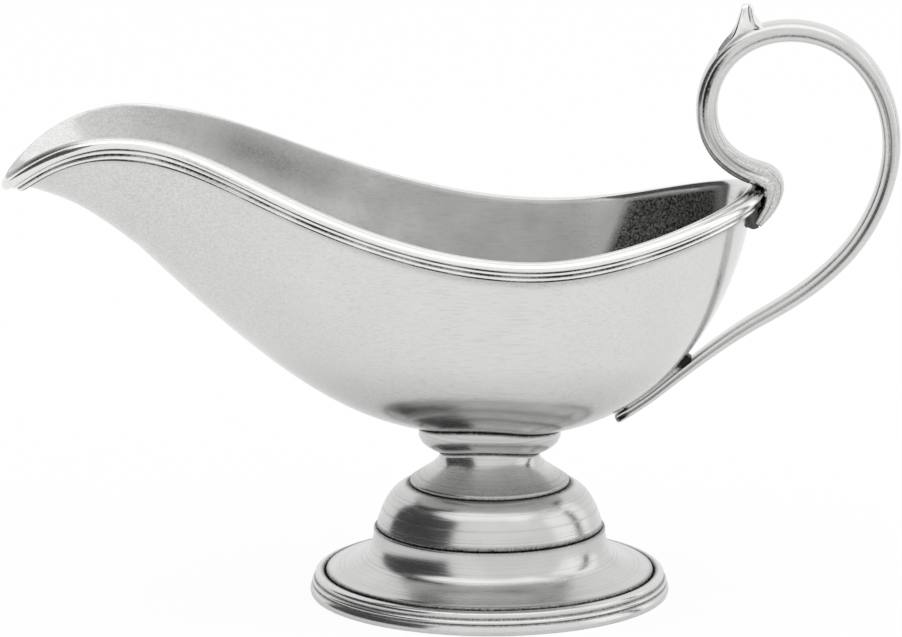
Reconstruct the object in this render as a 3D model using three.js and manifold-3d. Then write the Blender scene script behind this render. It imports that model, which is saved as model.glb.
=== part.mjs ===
// Pewter sauce boat on a turned pedestal foot, with a loop handle and a thumb leaf.
// Millimetres, +Z up, lip towards -X, handle towards +X, standing on Z = 0.
// Every height and reach below is measured from the table and from the axis of the foot.
// The hull is lofted as a boat is: a keel line, a rim line and frames between the two.

import * as THREE from 'three';
import { mergeVertices } from 'three/addons/utils/BufferGeometryUtils.js';
import Module from 'manifold-3d';

const wasm = await Module();
wasm.setup();

// Fits and facets
const solderGap = 0.3;            // clearance kept wherever a curved piece is soldered to another
const rearSteps = 9;              // facets round each quarter of the hull's rounded back
const flankSteps = 15;            // facets along each flank
const noseSteps = 9;              // facets round each side of the lip
const frameSteps = 11;            // facets from keel to rim
const turnedSteps = 40;           // facets round each turned piece

// Rim line: plan and sheer of the centre of the top bead
const lipReach = 117;             // to the front of the lip's moulding
const rimRear = 64.4;             // to the bead behind the bowl
const beamHalf = 39.2;            // half the breadth over the bead centres
const beamAt = 6.8;               // where the bowl is broadest
const waistHalf = 22.9;           // half the breadth where the lip begins
const waistAt = -84;
const flankPull = 58;             // how long the flank stays full
const waistPull = 20;             // how long it runs straight into the lip
const lipPull = 12;               // how long the lip's sides stay parallel
const lipRound = 20;              // how blunt the lip is
const lipHeight = 99.5;
const crestHeight = 113.4;        // top of the rise behind the lip
const crestAt = -86.9;
const fallHeight = 102.8;         // on the slope between crest and low point
const fallAt = -50;
const lowHeight = 87.8;           // lowest point of the rim
const lowAt = 11.6;
const rearHeight = 99;
const lipSlope = 0.97;
const fallSlope = -0.42;
const rearSlope = 0.3;

// Keel line and frames of the hull
const wall = 1.8;                 // thickness of the bowl
const keelHeight = 39.9;          // underside of the bowl over the foot
const noseKeelHeight = 84.6;      // underside where the lip begins
const noseKeelAngle = 44;         // degrees that the keel rises there
const keelPull = 29.5;
const noseKeelPull = 65;
// each frame leaves the keel with a bilge and meets the rim with a wall, both as shares
// of its run and rise, and flare is the wall's lean outwards in degrees
const rearFrame = { bilge: 0.66, wall: 0.45, flare: 6.4 };
const beamFrame = { bilge: 0.77, wall: 0.62, flare: 7 };
const waistFrame = { bilge: 0.48, wall: 0.5, flare: 9 };
const lipFrame = { bilge: 0.62, wall: 0.4, flare: 68 };

// Reeded moulding soldered round the outside of the rim
const beadRadius = 1.35;
const beadStand = 1.25;           // bead centre to the wall's outer face
const edgeRise = 0.6;             // wall's edge above the bead centre
const reedWidths = [1, 1.25];   // the reeds under the bead, top one first
const reedStand = 1.3;            // reed roots to the wall
const reedBulge = 0.45;
const grooveWidth = 0.2;

// Turned foot, radii and heights
const footRadius = 43.3;
const footRimHeight = 5.4;
const footRimWidth = 6.5;         // across the ring that stands on the table
const footRimLedge = 2.2;         // seat of the spreading base inside the rim
const footRollTop = 2.2;          // top of the lowest roll of the rim
const footReedTop = 3.5;          // top of the reed over it
const footStep = 0.4;             // how far each reed stands in from the one under it
const footGroove = 0.25;          // depth of the grooves between them
const baseInset = 3.8;            // edge of the spreading base in from the foot's edge
const baseFlangeHeight = 5.9;
const baseTop = 16.2;
const baseNeckRadius = 27.9;
const domeFootRadius = 27.3;
const domeTop = 26.9;
const domeTopRadius = 19.6;
const stemFootRadius = 19.2;
const stemFootEdge = 0.9;         // thickness of the stem's edge on the dome
const stemWaistRadius = 12;
const stemTop = 34.8;
const collarRadius = 17.1;
const collarShoulder = 38.8;      // height of its widest point
const collarHead = 6;             // of its blank above the keel, before the hull is cut out
const saddleRise = 2.1;           // how much higher collar and stem meet at the sides
const turnedWall = 2.2;
const hollowShoulder = 3;         // from each step down to where the hollow under it turns in
const stemFlare = 4.2;            // how far the stem spreads low down
const collarBore = 9.4;

// Handle: a reeded bar bent in the plane of the keel. Its loop rises over the rear of the rim.
const handleReach = 97.8;         // to the back of the handle
const loopRise = 41.4;            // outside of the loop's top over the rear of the rim
const loopTopAt = 71.5;
const loopFrontAt = 51.6;         // centre of the bar where the loop turns over the bowl
const loopFrontRise = 20;
const loopBackRise = 11.5;
const knuckleTipStand = 0.8;      // the bar starts behind the wall's edge
const knuckleTipDrop = 7.4;       // and under the rear of the rim
const knuckleStand = 4.25;        // back of the knuckle behind the wall's edge
const knuckleRise = 0.9;          // and over the rear of the rim
const shoulderLean = 3;           // where the bar leaves the knuckle, ahead of the wall's edge
const shoulderRise = 5.8;
const bendInset = 13.6;           // where the bar turns towards the hull, ahead of its back
const bendDrop = 16.15;           // and under the rear of the rim
const strapStand = 1.6;           // where it runs straight, behind the wall's edge
const strapDrop = 30.9;
const strapSeatStart = 0.39;      // where the strap meets the hull, as a share of the rear frame
const strapSeatEnd = 0.27;
const strapEndGap = 0.3;          // more room for solder under its end
const strapEndLift = 4;           // degrees by which its end is straighter than the hull
// width and thickness of the bar from place to place
const tipBar = { width: 9, thickness: 2.4 };
const knuckleBar = { width: 12, thickness: 5.4 };
const shoulderBar = { width: 10.4, thickness: 5.2 };
const frontBar = { width: 8.6, thickness: 5.1 };
const topBar = { width: 8.6, thickness: 4.9 };
const backBar = { width: 8.6, thickness: 4.25 };
const bendBar = { width: 8.2, thickness: 3.75 };
const runBar = { width: 7.6, thickness: 3.1 };
const strapBar = { width: 7.2, thickness: 2.3 };
const barSteps = 66;

// Lug that carries the knuckle on the bowl's rear wall
const lugWidth = 6;
const lugHeight = 3.4;
const lugLength = 4.4;
const lugDrop = 6.9;              // its middle under the rear of the rim

// Thumb leaf on the front shoulder of the loop
const leafRise = 4.3;             // its tip over the top of the loop
const leafWidth = 8;
const leafTipWidth = 4.6;
const leafRootStart = 33;         // along the bar from the tip of its knuckle
const leafRootMiddle = 53;
const leafRootEnd = 61;
const leafLean = 4.6;             // how far its tip leans back over its root
const leafStand = 3.2;            // its front edge from the bar's centre line
const leafTipRound = 1;
const leafTaper = 8;              // height over which it narrows to the tip

const degrees = Math.PI / 180;
const bowlMetal = { color: 0xc9c9c6, roughness: 0.34, metalness: 1 };
const brightMetal = { color: 0xd6d6d3, roughness: 0.26, metalness: 1 };
const turnedMetal = { color: 0xbdbdba, roughness: 0.34, metalness: 1 };

// Closed solids

function closedSolid(positions, triangles) {
  const loose = new THREE.BufferGeometry();
  loose.setAttribute('position', new THREE.Float32BufferAttribute(positions, 3));
  loose.setIndex(triangles);
  return tidySolid(loose);
}

function tidySolid(geometry) {
  geometry.deleteAttribute('normal');
  geometry.deleteAttribute('uv');
  const merged = mergeVertices(geometry, 1e-4);
  const corners = merged.getAttribute('position');
  const kept = [];
  const a = new THREE.Vector3();
  const b = new THREE.Vector3();
  const c = new THREE.Vector3();
  let volume = 0;
  for (let i = 0; i < merged.index.count; i += 3) {
    const face = [merged.index.getX(i), merged.index.getX(i + 1), merged.index.getX(i + 2)];
    if (new Set(face).size < 3) continue;
    kept.push(face);
    a.fromBufferAttribute(corners, face[0]);
    b.fromBufferAttribute(corners, face[1]);
    c.fromBufferAttribute(corners, face[2]);
    volume += a.dot(b.cross(c));
  }
  merged.setIndex(kept.flatMap((face) => (volume < 0 ? face.toReversed() : face)));
  return merged;
}

function toManifold(geometry) {
  return new wasm.Manifold(new wasm.Mesh({
    numProp: 3,
    vertProperties: new Float32Array(geometry.getAttribute('position').array),
    triVerts: new Uint32Array(geometry.index.array),
  }));
}

function fromManifold(manifold) {
  const mesh = manifold.getMesh();
  return closedSolid(Array.from(mesh.vertProperties), Array.from(mesh.triVerts));
}

// Rows of points, each with the same count, joined into a skin
function rowTriangles(rows, { closedRows, closedAround }) {
  const count = rows[0].length;
  const triangles = [];
  for (let i = 0; i < (closedAround ? rows.length : rows.length - 1); i += 1) {
    const next = (i + 1) % rows.length;
    for (let j = 0; j < (closedRows ? count : count - 1); j += 1) {
      const k = (j + 1) % count;
      const [p, q, r, s] = [i * count + j, i * count + k, next * count + k, next * count + j];
      triangles.push(p, q, r, p, r, s);
    }
  }
  return triangles;
}

function rowPositions(rows) {
  return rows.flat().flatMap((point) => point.toArray());
}

// closed outlines swept round a loop
function hoop(rings) {
  return closedSolid(rowPositions(rings), rowTriangles(rings, { closedRows: true, closedAround: true }));
}

// closed outlines swept along a path, with flat ends whose shape is the given outline
function bar(rings, outline) {
  const last = (rings.length - 1) * rings[0].length;
  const clockwise = THREE.ShapeUtils.isClockWise(outline);
  const caps = THREE.ShapeUtils.triangulateShape(outline, []).flatMap((corners) => {
    const [p, q, r] = clockwise ? corners.toReversed() : corners;
    return [q, p, r, last + p, last + q, last + r];
  });
  const sides = rowTriangles(rings, { closedRows: true, closedAround: false });
  return closedSolid(rowPositions(rings), [...sides, ...caps]);
}

// rows that all start and end on the plane of the keel, so that the two sides close there
function hullSkin(rows) {
  return closedSolid(rowPositions(rows), rowTriangles(rows, { closedRows: false, closedAround: true }));
}

// Grows a closed outline by a distance, whichever way round it is drawn
function offsetOutline(points, distance) {
  const turn = Math.sign(THREE.ShapeUtils.area(points));
  return points.map((point, i) => {
    const before = points[(i + points.length - 1) % points.length];
    const after = points[(i + 1) % points.length];
    const into = point.clone().sub(before).normalize();
    const out = after.clone().sub(point).normalize();
    const bisector = into.clone().add(out).normalize();
    const reach = distance / Math.max(0.5, bisector.dot(into));
    return new THREE.Vector2(point.x + turn * bisector.y * reach, point.y - turn * bisector.x * reach);
  });
}

// Rim line

const rimTip = -lipReach + beadRadius;

// height and slope of the rim over a place along the boat, a smooth line through stations
function sheer(x) {
  const stations = [
    [rimTip, lipHeight, lipSlope],
    [crestAt, crestHeight, 0],
    [fallAt, fallHeight, fallSlope],
    [lowAt, lowHeight, 0],
    [rimRear, rearHeight, rearSlope],
  ];
  const last = stations.length - 2;
  const index = Math.min(last, Math.max(0, stations.findIndex((station) => station[0] > x) - 1));
  const [[x0, z0, m0], [x1, z1, m1]] = [stations[index], stations[x >= rimRear ? last + 1 : index + 1]];
  const run = x1 - x0;
  const rise = new THREE.CubicBezierCurve(
    new THREE.Vector2(x0, z0),
    new THREE.Vector2(x0 + run / 3, z0 + (m0 * run) / 3),
    new THREE.Vector2(x1 - run / 3, z1 - (m1 * run) / 3),
    new THREE.Vector2(x1, z1),
  );
  const share = THREE.MathUtils.clamp((x - x0) / run, 0, 1);
  const direction = rise.getTangent(share);
  return { height: rise.getPoint(share).y, slope: direction.y / direction.x };
}

// stations along one side of the rim, from the middle of the back to the tip of the lip
function planStations() {
  const rear = new THREE.EllipseCurve(beamAt, 0, rimRear - beamAt, beamHalf, 0, Math.PI / 2);
  const flank = new THREE.CubicBezierCurve(
    new THREE.Vector2(beamAt, beamHalf),
    new THREE.Vector2(beamAt - flankPull, beamHalf),
    new THREE.Vector2(waistAt + waistPull, waistHalf),
    new THREE.Vector2(waistAt, waistHalf),
  );
  const nose = new THREE.CubicBezierCurve(
    new THREE.Vector2(waistAt, waistHalf),
    new THREE.Vector2(waistAt - lipPull, waistHalf),
    new THREE.Vector2(rimTip, lipRound),
    new THREE.Vector2(rimTip, 0),
  );
  const stations = [];
  const sample = (curve, steps, zone) => {
    for (let i = zone === 'rear' ? 0 : 1; i <= steps; i += 1) {
      const point = curve.getPointAt(i / steps);
      const direction = curve.getTangentAt(i / steps);
      stations.push({ point, direction, zone });
    }
  };
  sample(rear, rearSteps, 'rear');
  sample(flank, flankSteps, 'flank');
  sample(nose, noseSteps, 'nose');
  return stations;
}

// Keel line, under the bowl from its broadest point to the root of the lip

const noseDirection = new THREE.Vector3(
  -Math.cos(noseKeelAngle * degrees), 0, Math.sin(noseKeelAngle * degrees));
const keelStart = new THREE.Vector3(beamAt, 0, keelHeight);
const keelEnd = new THREE.Vector3(waistAt, 0, noseKeelHeight);
const keel = new THREE.CubicBezierCurve3(
  keelStart,
  new THREE.Vector3(beamAt - keelPull, 0, keelHeight),
  keelEnd.clone().addScaledVector(noseDirection, -noseKeelPull),
  keelEnd,
);

function keelAt(x) {
  let low = 0;
  let high = 1;
  for (let i = 0; i < 40; i += 1) {
    const middle = (low + high) / 2;
    if (keel.getPoint(middle).x > x) low = middle;
    else high = middle;
  }
  return { point: keel.getPoint(low), direction: keel.getTangent(low) };
}

// A frame is the curve of the hull's outer face from the keel to the edge of the wall
function hullFrame({ point, direction, zone }) {
  const plan = new THREE.Vector3(direction.y, -direction.x, 0);
  const { height, slope } = sheer(point.x);
  const along = new THREE.Vector3(direction.x, direction.y, slope * direction.x).normalize();
  const base = zone === 'flank' ? keelAt(point.x) : {
    point: (zone === 'rear' ? keelStart : keelEnd).clone(),
    direction: zone === 'rear' ? new THREE.Vector3(-1, 0, 0) : noseDirection.clone(),
  };
  // share of the way from a side frame to the frame on the centre line
  const fan = new THREE.Vector2(point.x - base.point.x, point.y).normalize();
  const central = zone === 'flank' ? 0 : fan.x ** 2;
  const forward = zone === 'rear' ? -fan.x : Math.abs(fan.x);
  const leave = zone === 'flank' ? new THREE.Vector3(0, 1, 0)
    : base.direction.clone().multiplyScalar(forward).add(new THREE.Vector3(0, fan.y, 0));
  const share = THREE.MathUtils.smoothstep(beamAt - point.x, 0, beamAt - waistAt);
  const blend = (key) => {
    const side = THREE.MathUtils.lerp(beamFrame[key], waistFrame[key], share);
    const centre = (zone === 'rear' ? rearFrame : lipFrame)[key];
    return THREE.MathUtils.lerp(side, centre, central);
  };
  const flare = blend('flare') * degrees;
  const wallUp = plan.clone().multiplyScalar(Math.sin(flare)).setZ(Math.cos(flare));
  const outward = new THREE.Vector3().crossVectors(along, wallUp).normalize();
  const upEdge = new THREE.Vector3().crossVectors(outward, along).normalize();
  const edge = new THREE.Vector3(point.x, point.y, height)
    .addScaledVector(outward, -beadStand)
    .addScaledVector(upEdge, edgeRise);
  const run = Math.hypot(edge.x - base.point.x, edge.y);
  const rise = THREE.MathUtils.lerp(edge.z - base.point.z, run, zone === 'nose' ? central : 0);
  const curve = new THREE.CubicBezierCurve3(
    base.point,
    base.point.clone().addScaledVector(leave, blend('bilge') * run),
    edge.clone().addScaledVector(wallUp, -blend('wall') * rise),
    edge,
  );
  const under = new THREE.Vector3().crossVectors(base.direction, new THREE.Vector3(0, 1, 0));
  return { curve, along, under: under.normalize() };
}

function mirrored(vector) {
  return new THREE.Vector3(vector.x, -vector.y, vector.z);
}

// frames round the whole rim, the far side a mirror of the near one
function hullFrames() {
  const side = planStations().map(hullFrame);
  const other = side.slice(1, -1).reverse().map(({ curve, along, under }) => ({
    curve: new THREE.CubicBezierCurve3(
      mirrored(curve.v0), mirrored(curve.v1), mirrored(curve.v2), mirrored(curve.v3)),
    along: mirrored(along).negate(),
    under,
  }));
  return [...side, ...other];
}

const frames = hullFrames();
const rearProfile = frames[0].curve;

// points and outward normals of the hull's outer face, one row for each frame
function hullGrid() {
  const rows = frames.map(({ curve }) => curve.getSpacedPoints(frameSteps));
  const normals = rows.map((row, i) => row.map((point, j) => {
    if (j === 0) return frames[i].under;
    const before = rows[(i + rows.length - 1) % rows.length][j];
    const after = rows[(i + 1) % rows.length][j];
    const up = row[Math.min(j + 1, frameSteps)].clone().sub(row[j - 1]);
    return after.clone().sub(before).cross(up).normalize();
  }));
  return { rows, normals };
}

const hull = hullGrid();

function shiftedHull(distance) {
  return hull.rows.map((row, i) => row.map((point, j) => (
    point.clone().addScaledVector(hull.normals[i][j], distance))));
}

// Bowl: the hull as a shell, open at the top. Each ring of the skin runs up the outside
// of one frame, over the edge and down the inside.
function bowlShell() {
  const outside = shiftedHull(0);
  const inside = shiftedHull(-wall);
  return hullSkin(outside.map((row, i) => [...row, ...inside[i].toReversed()]));
}

// the space that the hull takes up, grown by a clearance, for cutting what seats on it
function hullBlock(clearance) {
  const outside = shiftedHull(clearance);
  const lid = outside.map((row) => new THREE.Vector3(row[0].x, 0, row[frameSteps].z));
  return toManifold(hullSkin(outside.map((row, i) => [...row, lid[i]])));
}

// Rim moulding: a bead over two reeds, swept round on the wall's outer face

function mouldingHeight() {
  return edgeRise + beadRadius + reedWidths.reduce((sum, width) => sum + width + grooveWidth, 0);
}

// outline in (distance from the wall, height above the bead centre)
function mouldingOutline() {
  const outline = [new THREE.Vector2(solderGap, edgeRise)];
  for (let angle = 110; angle >= -50; angle -= 32) {
    outline.push(new THREE.Vector2(
      beadStand + beadRadius * Math.cos(angle * degrees), beadRadius * Math.sin(angle * degrees)));
  }
  let top = -beadRadius;
  for (const width of reedWidths) {
    top -= grooveWidth;
    outline.push(
      new THREE.Vector2(reedStand, top),
      new THREE.Vector2(reedStand + reedBulge, top - 0.3 * width),
      new THREE.Vector2(reedStand + reedBulge, top - 0.7 * width),
      new THREE.Vector2(reedStand, top - width),
    );
    top -= width;
  }
  outline.push(new THREE.Vector2(solderGap, top - grooveWidth));
  return outline;
}

function mouldingRings(clearance) {
  const outline = offsetOutline(mouldingOutline(), clearance);
  return frames.map(({ curve, along }) => {
    const edge = curve.getPointAt(1);
    const foot = curve.getPointAt(1 - mouldingHeight() / curve.getLength());
    const up = edge.clone().sub(foot);
    up.addScaledVector(along, -up.dot(along)).normalize();
    const out = new THREE.Vector3().crossVectors(along, up);
    return outline.map(({ x, y }) => edge.clone()
      .addScaledVector(out, x)
      .addScaledVector(up, y - edgeRise));
  });
}

// Turned pieces of the foot, each a closed outline of (radius, height) spun on the axis

function turned(outline) {
  const geometry = new THREE.LatheGeometry([...outline, outline[0]], turnedSteps);
  geometry.rotateX(Math.PI / 2);
  return tidySolid(geometry);
}

function curvePoints(steps, ...corners) {
  const points = corners.map(([x, y]) => new THREE.Vector2(x, y));
  const curve = points.length === 3
    ? new THREE.QuadraticBezierCurve(...points)
    : new THREE.CubicBezierCurve(...points);
  return curve.getPoints(steps);
}

function points(...pairs) {
  return pairs.map(([x, y]) => new THREE.Vector2(x, y));
}

const baseRadius = footRadius - baseInset;

// reeded ring under the edge of the foot, with an inner ledge that the base sits on
function footRim() {
  const inner = footRadius - footRimWidth;
  const reed = footRadius - footStep;
  const top = footRadius - 2 * footStep;
  const seat = baseRadius + solderGap;
  return turned([
    ...points([inner, 0], [footRadius - footStep, 0]),
    ...curvePoints(3, [footRadius - footGroove, 0], [footRadius + footGroove, footRollTop / 2],
      [reed - footGroove, footRollTop]),
    ...curvePoints(2, [reed - 2 * footGroove, footRollTop + footGroove],
      [reed + footGroove, (footRollTop + footReedTop) / 2], [top - footGroove, footReedTop]),
    ...curvePoints(3, [top - 2 * footGroove, footReedTop + footGroove], [top, footRimHeight],
      [seat + 2 * footGroove, footRimHeight]),
    ...points([seat, footRimHeight - footGroove], [seat, footRimLedge], [inner, footRimLedge]),
  ]);
}

// spreading base: a flange that sweeps up to a short upright neck, hollow underneath
function spreadingBase() {
  const innerNeck = baseNeckRadius - turnedWall;
  const flange = baseFlangeHeight;
  const neckFoot = flange + (baseTop - flange) * 0.3;
  return turned([
    ...points([baseRadius, footRimLedge], [baseRadius, flange - 0.7], [baseRadius - 0.5, flange]),
    ...curvePoints(8, [baseRadius - 1.4, flange + 0.1], [baseNeckRadius + 3, flange + 2],
      [baseNeckRadius + 0.4, neckFoot], [baseNeckRadius, baseTop - 1.2]),
    ...points([baseNeckRadius, baseTop - 0.3], [baseNeckRadius - 0.3, baseTop], [innerNeck, baseTop]),
    ...curvePoints(3, [innerNeck, baseTop - 2.5], [innerNeck + 0.3, neckFoot - 1.7],
      [innerNeck + 4, flange + 0.4], [baseRadius - 3, flange - turnedWall]),
    ...points([baseRadius - 1.4, footRimLedge]),
  ]);
}

// domed tier above it
function domedTier() {
  const foot = domeFootRadius;
  const inside = foot - turnedWall;
  const bore = stemFootRadius - turnedWall;
  const rise = domeTop - baseTop;
  return turned([
    ...points([foot - 0.3, baseTop]),
    ...curvePoints(7, [foot, baseTop + 0.4], [foot - 1.1, baseTop + 0.34 * rise],
      [foot - 2.4, domeTop - 0.16 * rise], [domeTopRadius + 0.4, domeTop - 0.1]),
    ...points([domeTopRadius, domeTop], [bore, domeTop]),
    ...curvePoints(3, [bore, domeTop - turnedWall],
      [inside - turnedWall, domeTop - hollowShoulder], [inside, baseTop]),
  ]);
}

// collar and stem meet in a shallow saddle under the keel, highest at the sides
function saddled(geometry, from, to) {
  const position = geometry.getAttribute('position');
  for (let i = 0; i < position.count; i += 1) {
    const [x, y, z] = [position.getX(i), position.getY(i), position.getZ(i)];
    const side = (y * y) / (x * x + y * y);
    position.setZ(i, z + saddleRise * side * THREE.MathUtils.smoothstep(z, from, to));
  }
  return geometry;
}

// waisted stem
function stem() {
  const bore = stemWaistRadius - turnedWall;
  const edge = domeTop + stemFootEdge;
  const top = stemTop - solderGap;
  const rise = top - edge;
  const outline = [
    ...points([stemFootRadius - 0.2, domeTop], [stemFootRadius, domeTop + 0.3], [stemFootRadius - 0.1, edge]),
    ...curvePoints(6, [stemFootRadius - 0.4, edge + 0.2],
      [stemWaistRadius + stemFlare, edge + 0.3 * rise],
      [stemWaistRadius + 0.2, edge + 0.55 * rise], [stemWaistRadius, top - 0.6]),
    ...points([stemWaistRadius + 0.4, top], [bore, top]),
    ...curvePoints(3, [bore, top - hollowShoulder], [bore, domeTop + hollowShoulder],
      [stemFootRadius - turnedWall, domeTop]),
  ];
  return saddled(turned(outline), edge, top);
}

// cushion collar between stem and bowl, its top shaped to the hull that it carries
function collar() {
  const root = stemWaistRadius + 0.4;
  const outline = [
    ...points([collarBore, stemTop], [root, stemTop]),
    ...curvePoints(6, [root + 0.4, stemTop + 0.1], [collarRadius - 0.6, stemTop + 1.6],
      [collarRadius, collarShoulder]),
    ...points([collarRadius, keelHeight + collarHead], [collarBore, keelHeight + collarHead]),
  ];
  const blank = saddled(turned(outline), 0, stemTop);
  return fromManifold(toManifold(blank).subtract(hullBlock(solderGap)));
}

// Handle

// where the strap lies on the hull's rear frame, and the way it runs there
function strapPoint(share, gap, lift) {
  const point = rearProfile.getPointAt(share);
  const direction = rearProfile.getTangentAt(share).negate();
  const out = new THREE.Vector2(-direction.z, direction.x);
  const at = new THREE.Vector2(point.x, point.z).addScaledVector(out, strapBar.thickness / 2 + gap);
  return { at, angle: Math.atan2(direction.z, direction.x) / degrees + lift };
}

// stations of the bar's centre line in the plane of the keel: place, direction in degrees,
// how far the curve is pulled before and after the station, as shares of the way there,
// and the bar's size there
function barStations() {
  const wallX = rearProfile.getPointAt(1).x;
  const station = (x, z, angle, before, after, size) => (
    { at: new THREE.Vector2(x, z), angle, before, after, ...size });
  return [
    station(wallX + knuckleTipStand, rearHeight - knuckleTipDrop, 54, 0, 0.3, tipBar),
    station(wallX + knuckleStand, rearHeight + knuckleRise, 90, 0.37, 0.4, knuckleBar),
    station(wallX - shoulderLean, rearHeight + shoulderRise, 152, 0.46, 0.31, shoulderBar),
    station(loopFrontAt, rearHeight + loopFrontRise, 90, 0.46, 0.38, frontBar),
    station(loopTopAt, rearHeight + loopRise - topBar.thickness / 2, 0, 0.43, 0.4, topBar),
    station(handleReach - backBar.thickness / 2, rearHeight + loopBackRise, -90, 0.4, 0.37, backBar),
    station(handleReach - bendInset, rearHeight - bendDrop, -133, 0.27, 0.38, bendBar),
    station(wallX + strapStand, rearHeight - strapDrop, -149.3, 0.36, 0.34, runBar),
    { ...strapPoint(strapSeatStart, solderGap, 0), before: 0.3, after: 0.3, ...strapBar },
    { ...strapPoint(strapSeatEnd, solderGap + strapEndGap, strapEndLift), before: 0.3, ...strapBar },
  ];
}

function barPath() {
  const path = new THREE.CurvePath();
  const stations = barStations();
  for (let i = 0; i < stations.length - 1; i += 1) {
    const [from, to] = [stations[i], stations[i + 1]];
    const way = from.at.distanceTo(to.at);
    const step = (station, share) => station.at.clone().add(new THREE.Vector2(
      Math.cos(station.angle * degrees), Math.sin(station.angle * degrees)).multiplyScalar(share * way));
    path.add(new THREE.CubicBezierCurve(from.at, step(from, from.after), step(to, -to.before), to.at));
  }
  return path;
}

// width and thickness of the bar at a distance from the tip of its knuckle
function barSize(travelled, stationsAt, stations) {
  const last = stations.length - 2;
  const found = stationsAt.findIndex((distance) => distance > travelled);
  const index = found < 0 ? last : Math.min(last, found - 1);
  const share = (travelled - stationsAt[index]) / (stationsAt[index + 1] - stationsAt[index]);
  return ['width', 'thickness'].map((key) => (
    THREE.MathUtils.lerp(stations[index][key], stations[index + 1][key], share)));
}

// the bar's section in (outward of the loop, half width) shares: a broad outer reed over a
// narrow inner one, with a groove between them down each side
const barHalfSection = [
  [1, 0.3], [0.93, 0.72], [0.62, 0.97], [0.15, 1], [-0.2, 0.84], [-0.42, 0.86], [-0.75, 0.84], [-1, 0.5],
];

function barSolid(clearance) {
  const path = barPath();
  const stations = barStations();
  const stationsAt = [0, ...path.getCurveLengths()];
  const section = [...barHalfSection, ...barHalfSection.toReversed().map(([n, y]) => [n, -y])];
  const rings = [];
  for (let i = 0; i <= barSteps; i += 1) {
    const share = i / barSteps;
    const at = path.getPointAt(share);
    const tangent = path.getTangentAt(share);
    const [width, thickness] = barSize(share * path.getLength(), stationsAt, stations);
    const outline = section.map(([n, y]) => new THREE.Vector2((n * thickness) / 2, (y * width) / 2));
    rings.push(offsetOutline(outline, clearance).map(({ x, y }) => new THREE.Vector3(
      at.x - tangent.y * x, y, at.y + tangent.x * x)));
  }
  return toManifold(bar(rings, section.map(([n, y]) => new THREE.Vector2(n, y))));
}

// lug that carries the knuckle on the bowl's rear wall, below the moulding
function knuckleLug() {
  const lug = new THREE.BoxGeometry(lugLength, lugWidth, lugHeight);
  lug.translate(rearProfile.getPointAt(1).x, 0, rearHeight - lugDrop);
  return toManifold(tidySolid(lug));
}

function handle() {
  const moulding = toManifold(hoop(mouldingRings(solderGap)));
  return fromManifold(barSolid(0).add(knuckleLug()).subtract(moulding).subtract(hullBlock(solderGap)));
}

// Thumb leaf: a curved horn that grows from the loop's front shoulder. Its outline is set
// off from the bar's centre line, and its root is cut to the bar.
function thumbLeaf() {
  const path = barPath();
  const length = path.getLength();
  const besideBar = (travelled, stand) => {
    const at = path.getPointAt(travelled / length);
    const tangent = path.getTangentAt(travelled / length);
    return at.add(new THREE.Vector2(-tangent.y, tangent.x).multiplyScalar(stand));
  };
  const outline = new THREE.Shape();
  const curveTo = (...corners) => outline.bezierCurveTo(...corners.flatMap((corner) => corner.toArray()));
  const leafTop = rearHeight + loopRise + leafRise;
  const tip = new THREE.Vector2(besideBar(leafRootEnd, 0).x - leafLean, leafTop);
  const fromTip = (x, y) => tip.clone().add(new THREE.Vector2(x, y).multiplyScalar(leafTipRound));
  const start = besideBar(leafRootStart, 0);
  outline.moveTo(start.x, start.y);
  curveTo(besideBar(THREE.MathUtils.lerp(leafRootStart, leafRootMiddle, 0.25), leafStand),
    besideBar(THREE.MathUtils.lerp(leafRootStart, leafRootMiddle, 0.75), leafStand),
    besideBar(leafRootMiddle, leafStand));
  curveTo(fromTip(-3.1, -7), fromTip(-1.9, -3.8), fromTip(-1.2, -1.2));
  curveTo(fromTip(-0.9, 0), fromTip(0.6, 0), fromTip(0.9, -1.3));
  curveTo(fromTip(1.2, -3.2), fromTip(2, -5), besideBar(leafRootEnd, topBar.thickness * 0.4));
  const rootSteps = 9;
  for (let i = 0; i < rootSteps; i += 1) {
    const travelled = THREE.MathUtils.lerp(leafRootEnd, leafRootStart, i / rootSteps);
    const point = besideBar(travelled, 0);
    outline.lineTo(point.x, point.y);
  }
  const side = outline.getPoints(6).slice(0, -1);
  const narrowed = (point) => {
    const share = THREE.MathUtils.smoothstep(point.y, leafTop - leafTaper, leafTop);
    return THREE.MathUtils.lerp(1, leafTipWidth / leafWidth, share);
  };
  const half = leafWidth / 2;
  const rounding = [[half, 0.6], [half - 0.3, 0.18], [half - 0.8, 0]];
  const levels = [...rounding, ...rounding.toReversed().map(([y, inset]) => [-y, inset])];
  const rings = levels.map(([y, inset]) => offsetOutline(side, -inset).map((point) => (
    new THREE.Vector3(point.x, y * narrowed(point), point.y))));
  const leaf = toManifold(bar(rings, side));
  return fromManifold(leaf.subtract(barSolid(solderGap)));
}

// Assembly

const sauceBoat = new THREE.Group();
// the model's origin lies under the middle of its length
sauceBoat.position.x = (lipReach - handleReach) / 2;

function addPiece(name, geometry, metal) {
  geometry.computeVertexNormals();
  const mesh = new THREE.Mesh(geometry, new THREE.MeshStandardMaterial(metal));
  mesh.name = name;
  sauceBoat.add(mesh);
}

addPiece('bowl', bowlShell(), bowlMetal);
addPiece('rim_moulding', hoop(mouldingRings(0)), brightMetal);
addPiece('collar', collar(), turnedMetal);
addPiece('stem', stem(), turnedMetal);
addPiece('domed_tier', domedTier(), turnedMetal);
addPiece('spreading_base', spreadingBase(), turnedMetal);
addPiece('foot_rim', footRim(), brightMetal);
addPiece('handle', handle(), brightMetal);
addPiece('thumb_leaf', thumbLeaf(), brightMetal);

export default sauceBoat;
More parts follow.
